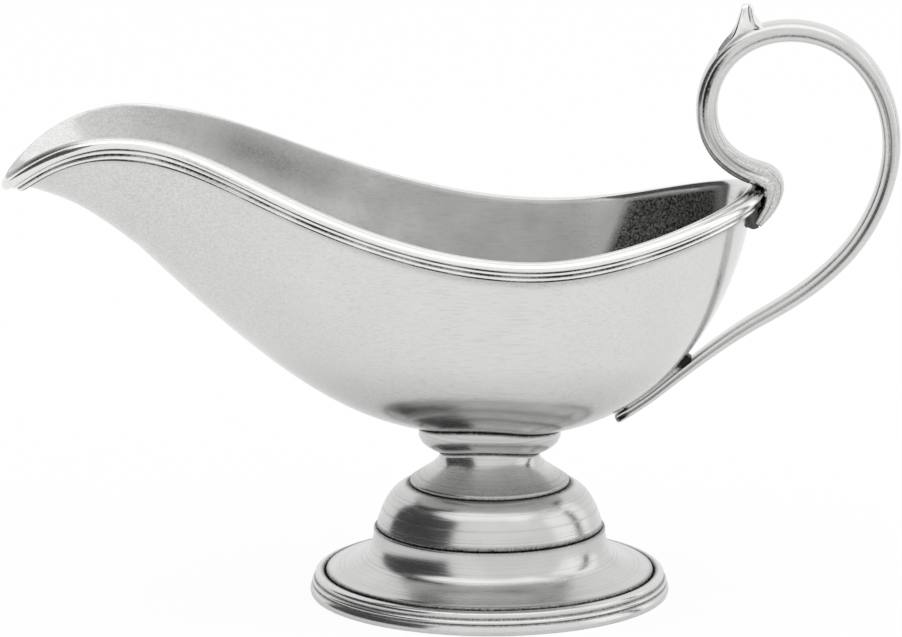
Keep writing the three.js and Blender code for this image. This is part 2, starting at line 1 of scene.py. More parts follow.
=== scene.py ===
# %% [markdown]
# # A pewter sauce boat
# The real one is cast and turned in pewter, a soft grey alloy of tin, and soldered together from
# nine pieces: a boat-shaped bowl, the moulding round its rim, five turned pieces of a foot, a bent
# handle and its thumb leaf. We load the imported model, whose solids are faceted, and make each
# piece again as one smooth surface, because polished metal shows every facet.

import math

import bmesh
import bpy
import numpy as np
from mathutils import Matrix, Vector, noise
from mathutils.bvhtree import BVHTree


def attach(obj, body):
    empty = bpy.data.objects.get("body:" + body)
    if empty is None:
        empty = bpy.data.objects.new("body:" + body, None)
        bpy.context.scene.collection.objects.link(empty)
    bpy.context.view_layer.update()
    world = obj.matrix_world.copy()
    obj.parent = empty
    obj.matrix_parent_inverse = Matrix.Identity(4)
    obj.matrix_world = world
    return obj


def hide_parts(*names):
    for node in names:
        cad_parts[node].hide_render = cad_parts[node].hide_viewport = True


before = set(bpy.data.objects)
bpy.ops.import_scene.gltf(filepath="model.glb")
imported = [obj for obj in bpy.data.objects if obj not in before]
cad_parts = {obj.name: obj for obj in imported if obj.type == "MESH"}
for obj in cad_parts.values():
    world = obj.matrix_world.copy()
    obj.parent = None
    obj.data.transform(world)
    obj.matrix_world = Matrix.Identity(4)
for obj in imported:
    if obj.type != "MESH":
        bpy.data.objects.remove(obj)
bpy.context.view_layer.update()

# %% [markdown]
# ## Small tools
# Everything is worked out in millimetres from the foot's axis, as a turner would measure it, and
# turned to metres in one place. Bezier curves give the lines, because a few well-placed corners
# make a smooth line. Points along them are spaced by length, so that facets stay even.

# %% Curves and angles
MM = 0.001
LIP_REACH, HANDLE_REACH = 117.0, 97.8
FOOT_AXIS_X = (LIP_REACH - HANDLE_REACH) / 2


def bezier(corners, shares):
    """Points at the given shares of a Bezier curve with any number of corners."""
    shares = np.atleast_1d(shares)[:, None]
    level = [np.asarray(c, float) for c in corners]
    while len(level) > 1:
        level = [a + (b - a) * shares for a, b in zip(level, level[1:])]
    return level[0]


def bezier_slope(corners, shares):
    """Unit directions at the given shares."""
    slopes = bezier(np.diff(np.asarray(corners, float), axis=0), shares)
    return slopes / np.linalg.norm(slopes, axis=1)[:, None]


def lengths_along(points):
    """How far each point of a line is from its start."""
    steps = np.linalg.norm(np.diff(points, axis=0), axis=1)
    return np.concatenate([[0], np.cumsum(steps)])


def even_shares(corners, count, start=0.0, end=1.0):
    """Shares of the curve that are evenly spaced along its length."""
    fine = np.linspace(0, 1, 600)
    travelled = lengths_along(bezier(corners, fine))
    return np.interp(np.linspace(start, end, count) * travelled[-1], travelled, fine)


def smoothstep(value, low, high):
    t = np.clip((value - low) / (high - low), 0, 1)
    return t * t * (3 - 2 * t)


def unit(vectors):
    vectors = np.asarray(vectors, float)
    return vectors / np.linalg.norm(vectors, axis=-1, keepdims=True)


# %% [markdown]
# ## Meshes from rows of points
# A hull and a leaf are both made of rows of points. This turns such a grid into a smooth mesh,
# closes its seams, and keeps numbers for each point that the materials read: the patina number
# is 1 in a corner that the cloth never reaches, and on the bowl it also holds painted shade;
# `tarnish` is 1 on the dull inside, and `pitting` says how worn the skin is.

# %% Grid to mesh
SEAM = 0.002                      # points closer than this are one


def to_frame(points):
    """Millimetres from the foot's axis to metres in the frame."""
    points = np.array(points, float)
    points[..., 0] += FOOT_AXIS_X
    return points * MM


def new_mesh(name, points, faces=()):
    mesh = bpy.data.meshes.new(name)
    mesh.from_pydata(np.asarray(points, float).tolist(), [], faces)
    return mesh


def mark(mesh, **marks):
    """Keeps a number, or the three numbers of a vector, for each point of a mesh."""
    for key, values in marks.items():
        values = np.asarray(values, float)
        kind, field = ("FLOAT", "value") if values.ndim == 1 else ("FLOAT_VECTOR", "vector")
        mesh.attributes.new(key, kind, "POINT").data.foreach_set(field, values.ravel())


def put_in_scene(name, data):
    """A new object with this mesh, lamp or camera."""
    item = bpy.data.objects.new(name, data)
    bpy.context.scene.collection.objects.link(item)
    return item


def finished(name, mesh, material):
    """Joins points that coincide, turns every face outwards and puts the piece in the scene."""
    work = bmesh.new()
    work.from_mesh(mesh)
    bmesh.ops.remove_doubles(work, verts=work.verts, dist=SEAM * MM)
    bmesh.ops.recalc_face_normals(work, faces=work.faces)
    work.to_mesh(mesh)
    work.free()
    mesh.shade_smooth()
    mesh.materials.clear()
    mesh.materials.append(material)
    print(f"{name}: {len(mesh.polygons)} faces")
    return put_in_scene(name, mesh)


def mesh_piece(name, rows, material, closed_rows=False, **marks):
    """A smooth piece from a grid of points in mm; marks give one number for each point."""
    height, width = rows.shape[:2]
    last = height if closed_rows else height - 1
    faces = [(i * width + j, i * width + j + 1,
              (i + 1) % height * width + j + 1, (i + 1) % height * width + j)
             for i in range(last) for j in range(width - 1)]
    mesh = new_mesh(name, to_frame(rows.reshape(-1, 3)), faces)
    mark(mesh, **{key: np.broadcast_to(values, (height, width)).ravel()
                  for key, values in marks.items()})
    return finished(name, mesh, material)


def dress(piece, slot, *nodes):
    """Puts a piece in the place of its CAD nodes; the slot of its finish is not used."""
    if nodes:
        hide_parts(*nodes)
    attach(piece, "root")


# %% [markdown]
# ## Pewter
# Pewter is an alloy of tin with a little antimony and copper. It takes a soft polish that is
# greyer than silver, with fine scratches from use, and it darkens in corners and grooves where
# the polishing cloth never reaches. A metal's colour is its reflection, so the base colour is a
# neutral light grey, and the roughness says how sharp the reflections are.

# %% Colours and nodes


def linear(colour):
    """sRGB hex to the linear colour that Blender works in."""
    parts = [int(colour[i:i + 2], 16) / 255 for i in (1, 3, 5)]
    return [p / 12.92 if p <= 0.04045 else ((p + 0.055) / 1.055) ** 2.4 for p in parts] + [1]


def add_node(tree, kind, links=None, output=0, **settings):
    """Adds a node and gives back one of its outputs. Links set or join its named inputs."""
    node = tree.nodes.new(kind)
    for key, value in settings.items():
        setattr(node, key, value)
    for key, value in (links or {}).items():
        if isinstance(value, bpy.types.NodeSocket):
            tree.links.new(value, node.inputs[key])
        else:
            node.inputs[key].default_value = value
    return node.outputs[output] if len(node.outputs) else None


def new_material(name):
    material = bpy.data.materials.new(name)
    material.use_nodes = True
    material.node_tree.nodes.clear()
    return material, material.node_tree


# %% [markdown]
# ## How the metal was finished
# The cast bowl was rubbed with a cloth, which leaves scratches that cross. The foot was polished
# on the lathe, which leaves rings round its axis, so its pattern runs on radius and height alone.
# A scratch is a little darker and rougher than the skin beside it. Blender's noise counts per
# metre here, so each size in millimetres is turned round. Real pits are finer than a picture
# shows, and are drawn about half a millimetre across.

# %% Where the pattern runs
CLOUD_SIZE, PIT_SIZE, SCRATCH_SIZE = 11.0, 0.55, 0.4
SCRATCH_STRETCH = 0.08            # a scratch is some twelve times as long as it is wide
SCRATCH_WAYS = [(0.3, 0.5, 0.7), (-0.4, -0.6, 0.2)]


def scratch_height(tree, place, turned):
    """Height of the scratches: rings on a turned piece, two crossing ways on any other."""
    if turned:
        flat = add_node(tree, "ShaderNodeVectorMath", {
            0: place, 1: (1, 1, 0), 2: (-FOOT_AXIS_X * MM, 0, 0)}, operation="MULTIPLY_ADD")
        radius = add_node(tree, "ShaderNodeVectorMath", {0: flat}, "Value", operation="LENGTH")
        height = add_node(tree, "ShaderNodeSeparateXYZ", {0: place}, "Z")
        ways = [add_node(tree, "ShaderNodeCombineXYZ", {"X": radius, "Y": height})]
    else:
        ways = [add_node(tree, "ShaderNodeMapping", {
            "Vector": place, "Rotation": way, "Scale": (SCRATCH_STRETCH, 1, 1)})
            for way in SCRATCH_WAYS]
    found = [add_node(tree, "ShaderNodeTexNoise", {
        "Vector": way, "Scale": 1 / (SCRATCH_SIZE * MM), "Detail": 3.0}) for way in ways]
    return add_node(tree, "ShaderNodeMath", {0: found[0], 1: found[-1]}, operation="ADD")


# %% Pewter
# the dark of patina in the hollows, also used for the shade painted on the bowl and the stem
PATINA_AND_PAINTED_SHADE, PATINA_ROUGH = "#2c2c2b", 0.5
TARNISH, TARNISH_ROUGH = "#c2c2c0", 0.25      # this much rougher than the clean skin
SCRATCH_DEPTH, SCRATCH_SHARE = 0.01, 0.3
NOISE_SPAN = (0.3, 0.7)           # nearly all of a noise pattern lies between these
SCRATCH_SPAN = (1.0, 1.3)         # two patterns added up count as a scratch from the first on
RANGE_SOCKETS = ("Value", "From Min", "From Max", "To Min", "To Max")


def pewter(name, colour, roughness, turned=False, scratch=0.3, mottle=0.05, pits=0.06):
    """Polished pewter: cloudy at a centimetre, pitted and scratched below a millimetre."""
    material, tree = new_material(name)
    place = add_node(tree, "ShaderNodeTexCoord", output="Object")
    patina, tarnish, pitting = [add_node(tree, "ShaderNodeAttribute", None, "Fac",
                                         attribute_name=key)
                                for key in ("patina", "tarnish", "pitting")]
    clouds, stipple = [add_node(tree, "ShaderNodeTexNoise", {
        "Vector": place, "Scale": 1 / (size * MM), "Detail": 3.0})
        for size in (CLOUD_SIZE, PIT_SIZE)]
    scratches = scratch_height(tree, place, turned)
    # each row is a pattern, the span of it that counts, and what that span becomes
    cloud_shade, gloss, patchy, breaks, pit, wear, scratch_shade, scattered = [
        add_node(tree, "ShaderNodeMapRange", dict(zip(RANGE_SOCKETS, row))) for row in (
            (clouds, *NOISE_SPAN, 1 - mottle, 1.0),
            (clouds, *NOISE_SPAN, roughness * 0.85, roughness * 1.15),
            (clouds, 0.35, 0.6, 0.75, 1.0),
            (stipple, *NOISE_SPAN, 0.7, 1.25),
            (stipple, 0.42, 0.62, 1.0, 0.0),
            (pitting, 0.0, 1.0, pits / 4, pits * 2),
            (scratches, *SCRATCH_SPAN, 1.0, 1 - scratch * SCRATCH_SHARE),
            (scratches, *SCRATCH_SPAN, 0.0, scratch * SCRATCH_SHARE))]
    # pits show most on worn skin, tarnish lies in clouds, and patina, with the painted shade in
    # it, breaks up at its edge
    pit_depth, dull, broken = [
        add_node(tree, "ShaderNodeMath", {0: one, 1: other}, operation="MULTIPLY")
        for one, other in ((pit, wear), (tarnish, patchy), (patina, breaks))]
    dirt_and_painted_shade = add_node(tree, "ShaderNodeMapRange", {"Value": broken, "From Min": 0.1})
    # clouds, pits and scratches each take a little light away
    shade = add_node(tree, "ShaderNodeMath", {0: 1.0, 1: pit_depth}, operation="SUBTRACT")
    for other in (cloud_shade, scratch_shade):
        shade = add_node(tree, "ShaderNodeMath", {0: shade, 1: other}, operation="MULTIPLY")
    skin = add_node(tree, "ShaderNodeMix", {0: dull, 6: linear(colour), 7: linear(TARNISH)}, 2,
                    data_type="RGBA")
    shaded = add_node(tree, "ShaderNodeVectorMath", {0: skin, "Scale": shade}, operation="SCALE")
    base = add_node(tree, "ShaderNodeMix", {0: dirt_and_painted_shade, 6: shaded, 7: linear(PATINA_AND_PAINTED_SHADE)}, 2,
                    data_type="RGBA")
    # full tarnish, scratches and patina each blur the reflections
    matt = add_node(tree, "ShaderNodeMapRange", {"Value": dull, "From Min": 0.3})
    gloss = add_node(tree, "ShaderNodeMix", {0: matt, 2: gloss, 3: roughness + TARNISH_ROUGH})
    gloss = add_node(tree, "ShaderNodeMath", {0: gloss, 1: scattered}, operation="ADD")
    rough = add_node(tree, "ShaderNodeMix", {0: dirt_and_painted_shade, 2: gloss, 3: PATINA_ROUGH})
    relief = add_node(tree, "ShaderNodeMath", {0: scratches, 1: pit_depth}, operation="SUBTRACT")
    bump = add_node(tree, "ShaderNodeBump", {
        "Height": relief, "Strength": scratch, "Distance": SCRATCH_DEPTH * MM})
    shader = add_node(tree, "ShaderNodeBsdfPrincipled", {
        "Base Color": base, "Metallic": 1.0, "Roughness": rough, "Normal": bump})
    add_node(tree, "ShaderNodeOutputMaterial", {"Surface": shader})
    print("finish:", name)
    return material


# cast and rubbed with a cloth: bright, with soft clouds and fine lines
cast_pewter = pewter("cast_pewter_rubbed_with_cloth", "#e4e4e3", 0.14)
# turned and polished on the lathe: greyer, with rings that blur what it mirrors
turned_pewter = pewter("turned_pewter", "#d1d1d0", 0.2, turned=True, scratch=0.35, mottle=0.14)
# rubbed with a steel, then worn by hands: an even, soft sheen with small pits
burnished_pewter = pewter("burnished_pewter", "#d8d8d7", 0.19, scratch=0.25, pits=0.12)

# %% [markdown]
# ## The hull
# The bowl is drawn as a boat is. The rim line gives its plan and its height, the keel line its
# underside, and each frame is a curve from keel to rim. The numbers are the CAD model's, sampled
# five times as finely. Each frame's outer face goes to the wall's edge, and the inner face is set
# in by the wall's thickness along the normal.

# %% Rim line
RIM_REAR, BEAM_HALF, BEAM_AT = 64.4, 39.2, 6.8
WAIST_HALF, WAIST_AT = 22.9, -84.0
FLANK_PULL, WAIST_PULL, LIP_PULL, LIP_ROUND = 58.0, 20.0, 12.0, 20.0
BEAD_RADIUS, BEAD_STAND, EDGE_RISE = 1.35, 1.25, 0.6
REAR_HEIGHT = 99.0
RIM_TIP = -LIP_REACH + BEAD_RADIUS
# place along the boat, height of the rim and its slope
SHEER = [(RIM_TIP, 99.5, 0.97), (-86.9, 113.4, 0), (-50, 102.8, -0.42), (11.6, 87.8, 0),
         (RIM_REAR, REAR_HEIGHT, 0.3)]
REAR_STEPS, FLANK_STEPS, NOSE_STEPS, FRAME_STEPS = 44, 72, 44, 72


def sheer(x):
    """Height and slope of the rim over a place along the boat."""
    for (x0, z0, m0), (x1, z1, m1) in zip(SHEER, SHEER[1:]):
        if x <= x1 + SEAM:
            run = x1 - x0
            share = min(max((x - x0) / run, 0), 1)
            heights = [z0, z0 + m0 * run / 3, z1 - m1 * run / 3, z1]
            corners = [(x0 + run * k / 3, z) for k, z in enumerate(heights)]
            direction = bezier_slope(corners, share)[0]
            return bezier(corners, share)[0][1], direction[1] / direction[0]


def rim_stations():
    """Place, direction and zone along one side of the rim, from the back to the lip's tip."""
    quarter = np.linspace(0, math.pi / 2, 600)
    reach = RIM_REAR - BEAM_AT
    travelled = lengths_along(
        np.stack([reach * np.cos(quarter), BEAM_HALF * np.sin(quarter)], 1))
    angles = np.interp(np.linspace(0, travelled[-1], REAR_STEPS + 1), travelled, quarter)
    found = [((BEAM_AT + reach * math.cos(a), BEAM_HALF * math.sin(a)),
              unit([-reach * math.sin(a), BEAM_HALF * math.cos(a)]), "rear") for a in angles]
    flank = [(BEAM_AT, BEAM_HALF), (BEAM_AT - FLANK_PULL, BEAM_HALF),
             (WAIST_AT + WAIST_PULL, WAIST_HALF), (WAIST_AT, WAIST_HALF)]
    nose = [(WAIST_AT, WAIST_HALF), (WAIST_AT - LIP_PULL, WAIST_HALF), (RIM_TIP, LIP_ROUND),
            (RIM_TIP, 0)]
    for corners, steps, zone in ((flank, FLANK_STEPS, "flank"), (nose, NOSE_STEPS, "nose")):
        shares = even_shares(corners, steps + 1)[1:]
        found += [(*ends, zone) for ends in zip(bezier(corners, shares),
                                                bezier_slope(corners, shares))]
    return found


# %% Keel line and frames
WALL, KEEL_HEIGHT, NOSE_KEEL_HEIGHT = 1.8, 39.9, 84.6
NOSE_KEEL_ANGLE, KEEL_PULL, NOSE_KEEL_PULL = math.radians(44), 29.5, 65.0
NOSE_WAY = np.array([-math.cos(NOSE_KEEL_ANGLE), 0, math.sin(NOSE_KEEL_ANGLE)])
KEEL_START = np.array([BEAM_AT, 0, KEEL_HEIGHT])
KEEL_END = np.array([WAIST_AT, 0, NOSE_KEEL_HEIGHT])
KEEL = [KEEL_START, KEEL_START - (KEEL_PULL, 0, 0), KEEL_END - NOSE_WAY * NOSE_KEEL_PULL, KEEL_END]
# bilge, wall and flare of the frames behind, at the beam, at the waist and under the lip
REAR_FRAME, BEAM_FRAME = np.array([0.66, 0.45, 6.4]), np.array([0.77, 0.62, 7])
WAIST_FRAME, LIP_FRAME = np.array([0.48, 0.5, 9]), np.array([0.62, 0.4, 68])
keel_shares = np.linspace(0, 1, 2000)
keel_x = bezier(KEEL, keel_shares)[:, 0]


def hull_frame(place, way, zone):
    """A frame's corners, and the rim's direction over it."""
    height, slope = sheer(place[0])
    along = unit([way[0], way[1], slope * way[0]])
    if zone == "flank":
        share = np.interp(-place[0], -keel_x, keel_shares)
        base, leave, central = bezier(KEEL, share)[0], np.array([0, 1.0, 0]), 0.0
    else:
        base = KEEL_START if zone == "rear" else KEEL_END
        keel_way = np.array([-1.0, 0, 0]) if zone == "rear" else NOSE_WAY
        fan = unit([place[0] - base[0], place[1]])
        central = fan[0] ** 2
        forward = -fan[0] if zone == "rear" else abs(fan[0])
        leave = keel_way * forward + (0, fan[1], 0)
    side = smoothstep(BEAM_AT - place[0], 0, BEAM_AT - WAIST_AT)
    shape = BEAM_FRAME + (WAIST_FRAME - BEAM_FRAME) * side
    centre = REAR_FRAME if zone == "rear" else LIP_FRAME
    bilge, wall, flare = shape + (centre - shape) * central
    flare = math.radians(flare)
    wall_up = np.array([way[1] * math.sin(flare), -way[0] * math.sin(flare), math.cos(flare)])
    outward = unit(np.cross(along, wall_up))
    up_edge = unit(np.cross(outward, along))
    edge = np.array([place[0], place[1], height]) - outward * BEAD_STAND + up_edge * EDGE_RISE
    run = math.hypot(edge[0] - base[0], edge[1])
    rise = edge[2] - base[2]
    if zone == "nose":
        rise += (run - rise) * central
    return [base, base + leave * bilge * run, edge - wall_up * wall * rise, edge], along


side_frames = [hull_frame(*station) for station in rim_stations()]
mirror = np.array([1, -1, 1])
frames = side_frames + [([c * mirror for c in corners], -along * mirror)
                        for corners, along in side_frames[-2:0:-1]]
hull = np.array([bezier(corners, even_shares(corners, FRAME_STEPS + 1)) for corners, _ in frames])
rear_profile = frames[0][0]
print("hull of", len(frames), "frames")

# %% The bowl's shell
EDGE_STEPS, EDGE_ROUND = 6, 0.35  # the wall's edge is a shallow round


def hull_normals(rows):
    """Outward normals of the hull, from the points beside each one."""
    around = np.roll(rows, -1, 0) - np.roll(rows, 1, 0)
    found = np.cross(around, np.gradient(rows, axis=1))
    found /= np.maximum(np.linalg.norm(found, axis=2, keepdims=True), 1e-9)
    shares = np.interp(-rows[:, 0, 0], -keel_x, keel_shares)
    found[:, 0] = unit(np.cross(bezier_slope(KEEL, shares), (0, 1.0, 0)))
    return found


inside = hull - hull_normals(hull) * WALL
turn = np.linspace(0, math.pi, EDGE_STEPS + 1)[None, 1:-1, None]
edge_up = unit(hull[:, -1] - hull[:, -2])[:, None]
edge_middle = ((hull[:, -1] + inside[:, -1]) / 2)[:, None]
half_wall = ((hull[:, -1] - inside[:, -1]) / 2)[:, None]
edge = edge_middle + half_wall * np.cos(turn) + edge_up * np.sin(turn) * EDGE_ROUND
shell = np.concatenate([hull, edge, inside[:, ::-1]], 1)

# %% [markdown]
# ## Where the bowl is worn, and where shade is painted on it
# The inside was never polished as brightly as the outside, and sauce dulled it, except in the
# lip and at the back, where a cloth reaches. Its far wall has old stains, and beside the handle a
# dark patch that is a painted reflection of dark surroundings. Outside, the skin is most pitted
# towards the lip, and it darkens under the moulding. Just over the foot the belly gets painted
# shade, for the foot and its shadow mirrored there. All of this goes into the mesh as numbers
# for each point, so that the material needs no picture.

# %% Tarnish and pitting of the bowl
LIP_BRIGHT_FROM, LIP_BRIGHT_TO, LIP_BRIGHT = 68.0, 100.0, 0.45
REAR_BRIGHT_FROM, REAR_BRIGHT_TO, OUTER_TARNISH, EDGE_FADE = 18.0, 32.0, 0.15, 6.0
PITTED_FROM, PITTED_TO, PITTED_LEAST = 25.0, 80.0, 0.15

x, height = shell[..., 0], shell[..., 2]
is_inside = np.zeros(shell.shape[:2])
is_inside[:, -inside.shape[1]:] = 1
tarnish = (1 - is_inside) * OUTER_TARNISH + is_inside * (
    1 - LIP_BRIGHT * smoothstep(-x, LIP_BRIGHT_FROM, LIP_BRIGHT_TO)
    - smoothstep(x, REAR_BRIGHT_FROM, REAR_BRIGHT_TO))
edge_columns = slice(hull.shape[1], -inside.shape[1])
tarnish[:, edge_columns] += smoothstep(-x[:, edge_columns], LIP_BRIGHT_TO - EDGE_FADE,
                                       LIP_BRIGHT_TO)
pitting = PITTED_LEAST + (1 - PITTED_LEAST) * smoothstep(-x, PITTED_FROM, PITTED_TO)
print("tarnish from", round(tarnish.min(), 2), "to", round(tarnish.max(), 2))

# %% Stains of the bowl, and shade painted on it
# place along the boat, height, reach along and up, slant and strength
STAINS = [(-57, 101.5, 15, 4.5, -0.45, 0.32), (-46, 98, 34, 9, -0.35, 0.18),
          (8.5, 84, 3.5, 3, 0, 0.2)]
# the dark patch is painted shade, a dark reflection painted on the far wall; it ends short of
# the rim, and its front edge slants with height
PATCH_FROM, PATCH_TO, PATCH_EDGE, PATCH_SLANT, PATCH_TOP = 33, 54.5, 2.2, 0.42, 91
PATCH_LOW, PATCH_FADE, PATCH_MARGIN, PATCH_STRENGTH = 71, 5, 0.3, 0.88
# painted shade on the belly, standing for the foot and its shadow mirrored there: full below the
# first height, gone above the second
UNDERSIDE_SHADE_FULL_BELOW, UNDERSIDE_SHADE_GONE_ABOVE, UNDERSIDE_PAINTED_SHADE = 46.0, 74.0, 0.27
JOINT_DEPTH, JOINT_FADE, UNDER_MOULDING_DARKENING = 4.6, 1.3, 0.4

rim_height = np.array([sheer(at)[0] for at in shell[:, hull.shape[1], 0]])[:, None]
patch_start = PATCH_FROM - (PATCH_TOP - height) * PATCH_SLANT
# painted shade: a dark reflection painted as a patch on the far wall, with the old stains added
# below
far_wall_stains_and_painted_shade = PATCH_STRENGTH * (
    smoothstep(x, patch_start - PATCH_EDGE, patch_start + PATCH_EDGE)
    * (1 - smoothstep(x, PATCH_TO - PATCH_EDGE, PATCH_TO + PATCH_EDGE))
    * smoothstep(height, PATCH_LOW, PATCH_LOW + PATCH_FADE)
    * smoothstep(rim_height - height, PATCH_MARGIN / 2, PATCH_MARGIN * 2))
for at_x, at_z, reach_x, reach_z, slant, strength in STAINS:
    across, above = x - at_x, height - at_z - slant * (x - at_x)
    far_wall_stains_and_painted_shade += strength * np.exp(-(across / reach_x) ** 2 - (above / reach_z) ** 2)
stains_and_painted_shade = far_wall_stains_and_painted_shade * is_inside * (shell[..., 1] > 0)
# outside, the painted shade over the foot
stains_and_painted_shade += (1 - is_inside) * UNDERSIDE_PAINTED_SHADE * (
    1 - smoothstep(height, UNDERSIDE_SHADE_FULL_BELOW, UNDERSIDE_SHADE_GONE_ABOVE))
below_rim = np.array([lengths_along(row[::-1])[::-1] for row in hull])
# darker just under the moulding, fading down the wall
stains_and_painted_shade[:, :hull.shape[1]] += UNDER_MOULDING_DARKENING * np.exp(
    -np.maximum(below_rim - JOINT_DEPTH, 0) / JOINT_FADE)
print("darkest stain", round(stains_and_painted_shade.max(), 2))

# %% Bowl
bowl = mesh_piece("pewter_bowl", shell, cast_pewter, closed_rows=True,
                  tarnish=tarnish, pitting=pitting, patina=stains_and_painted_shade)
dress(bowl, "bowl_pewter", "bowl")

# %% [markdown]
# ## One tree for every swept piece
# The moulding, the handle's bar and the turned rings of the foot are each one outline carried
# along a rail. Geometry Nodes do this with a grid: each of its points looks up one point of the
# rail and one of the outline by its index, so the mesh meets both exactly. The rail's points
# carry two directions, `out` and `up`, whose lengths also stretch the outline. Patina lies in up
# to three grooves of the outline, and on the stem a painted shade goes the same way. Each groove
# is one component of a vector on the outline, and the rail's vector says how readily each one
# darkens there, so the darkening, patina with any painted shade, is their dot product.

# %% The sweep tree
sweep = bpy.data.node_groups.new("sweep_outline_along_rail", "GeometryNodeTree")
for label, kind, direction in (("Geometry", "NodeSocketGeometry", "INPUT"),
                               ("Outline", "NodeSocketObject", "INPUT"),
                               ("Seam Distance", "NodeSocketFloat", "INPUT"),
                               ("Finish", "NodeSocketMaterial", "INPUT"),
                               ("Geometry", "NodeSocketGeometry", "OUTPUT")):
    sweep.interface.new_socket(label, in_out=direction, socket_type=kind)
given = sweep.nodes.new("NodeGroupInput").outputs
rail_line = given["Geometry"]
outline_line = add_node(sweep, "GeometryNodeObjectInfo", {"Object": given["Outline"]},
                        "Geometry", transform_space="ORIGINAL")
rail_count, outline_count = [add_node(sweep, "GeometryNodeAttributeDomainSize", {
    "Geometry": line}, "Point Count", component="MESH") for line in (rail_line, outline_line)]
grid = add_node(sweep, "GeometryNodeMeshGrid",
                {"Vertices X": rail_count, "Vertices Y": outline_count})
# the grid counts up the outline first, then along the rail
index = add_node(sweep, "GeometryNodeInputIndex")
along_rail, across = [add_node(sweep, "FunctionNodeIntegerMath", {0: index, 1: outline_count},
                               operation=rule) for rule in ("DIVIDE_FLOOR", "FLOORED_MODULO")]
place = add_node(sweep, "GeometryNodeInputPosition")
out_way, up_way, grooves = [add_node(sweep, "GeometryNodeInputNamedAttribute", {"Name": key},
                                     data_type="FLOAT_VECTOR")
                            for key in ("out", "up", "grooves")]
at, out, up, rail_dirt, corner, outline_dirt_and_painted_shade = [
    add_node(sweep, "GeometryNodeSampleIndex", {"Geometry": line, "Index": where, "Value": value},
             data_type="FLOAT_VECTOR", domain="POINT")
    for line, where, values in ((rail_line, along_rail, (place, out_way, up_way, grooves)),
                                (outline_line, across, (place, grooves))) for value in values]
for axis, way in (("X", out), ("Y", up)):
    size = add_node(sweep, "ShaderNodeSeparateXYZ", {0: corner}, axis)
    shift = add_node(sweep, "ShaderNodeVectorMath", {0: way, "Scale": size}, operation="SCALE")
    at = add_node(sweep, "ShaderNodeVectorMath", {0: at, 1: shift}, operation="ADD")
dirt_and_painted_shade = add_node(sweep, "ShaderNodeVectorMath", {0: rail_dirt, 1: outline_dirt_and_painted_shade}, "Value",
                operation="DOT_PRODUCT")
shape = grid
for kind, links, settings in (
        ("GeometryNodeSetPosition", {"Position": at}, {}),
        ("GeometryNodeStoreNamedAttribute", {"Name": "patina", "Value": dirt_and_painted_shade},
         {"data_type": "FLOAT", "domain": "POINT"}),
        ("GeometryNodeMergeByDistance", {"Distance": given["Seam Distance"]}, {}),
        ("GeometryNodeRealizeInstances", {}, {}),
        ("GeometryNodeSetMaterial", {"Material": given["Finish"]}, {}),
        ("NodeGroupOutput", {}, {})):
    shape = add_node(sweep, kind, {"Geometry": shape, **links}, **settings)
print("sweep tree of", len(sweep.nodes), "nodes")

# %% Running the tree


def line_object(name, points, grooves, **ways):
    """A string of points as a mesh with no faces, with its directions and its grooves, whose
    patina on the stem also holds painted shade.
    """
    mesh = new_mesh(name, points)
    dirt_and_painted_shade = np.zeros((len(points), 3))
    for k, values in enumerate(grooves):
        dirt_and_painted_shade[:, k] = values
    mark(mesh, grooves=dirt_and_painted_shade, **ways)
    return put_in_scene(name, mesh)


def swept_piece(name, rail, out, up, outline, finish, gathers=(1,), grooves=(0,)):
    """Runs the sweep tree and keeps its result as a plain mesh. Rail and outline are in mm."""
    outline = np.asarray(outline, float)
    line = line_object(name + "_rail", to_frame(rail), gathers, out=out, up=up)
    section = line_object(name + "_outline", np.c_[outline * MM, np.zeros(len(outline))], grooves)
    modifier = line.modifiers.new("sweep", "NODES")
    modifier.node_group = sweep
    inputs = {"Outline": section, "Seam Distance": SEAM * MM, "Finish": finish}
    for item in sweep.interface.items_tree:
        if item.name in inputs:
            modifier[item.identifier] = inputs[item.name]
    seen = line.evaluated_get(bpy.context.evaluated_depsgraph_get())
    mesh = bpy.data.meshes.new_from_object(seen)
    mesh.name = name
    for helper in (line, section):
        bpy.data.objects.remove(helper)
    return finished(name, mesh, finish)


def capped_sweep(name, rail, out, up, outline, finish, gathers, grooves):
    """A sweep along an open rail, closed at both ends by a ring of no size."""
    rail, *gathers = [np.concatenate([v[:1], v, v[-1:]]) for v in (rail, *gathers)]
    out, up = [np.concatenate([v[:1] * 0, v, v[-1:] * 0]) for v in (out, up)]
    return swept_piece(name, rail, out, up, outline, finish, gathers, grooves)


# %% [markdown]
# ## The rim moulding
# A bead over two reeds, drawn through a plate as one strip and soldered round the outside of the
# wall. The outline is swept round the rim with the wall's own lean, so it turns under at the lip.
# The two grooves keep dark patina, and so does the joint with the wall, where a little solder
# shows under the last reed.

# %% Outline of the moulding
BEAD_ARC, BEAD_POINTS, BEAD_DROP = (150, -70), 34, 0.75
REED_WIDTHS, REED_STAND, REED_BULGE, REED_FULLNESS, REED_POINTS = (1.2, 1.4), 1.2, 0.45, 0.6, 15
GROOVE_WIDTH, GROOVE_DIRT = 0.3, (1.3, 1.2)   # patina under the bead and between the reeds
BEAD_DIRT_FROM, BEAD_DIRT_GROWTH, BACK_DIRT = 0.8, 5, 0.3
JOINT_FROM, JOINT_RUN, JOINT_DARK = 0.52, 0.2, 1.6    # the last reed darkens towards the joint
FILLET, BACK = 0.45, -0.3         # how far the solder shows, and the strip's back in the wall
FACET = 0.035                     # the solids' facets cut this much off a round


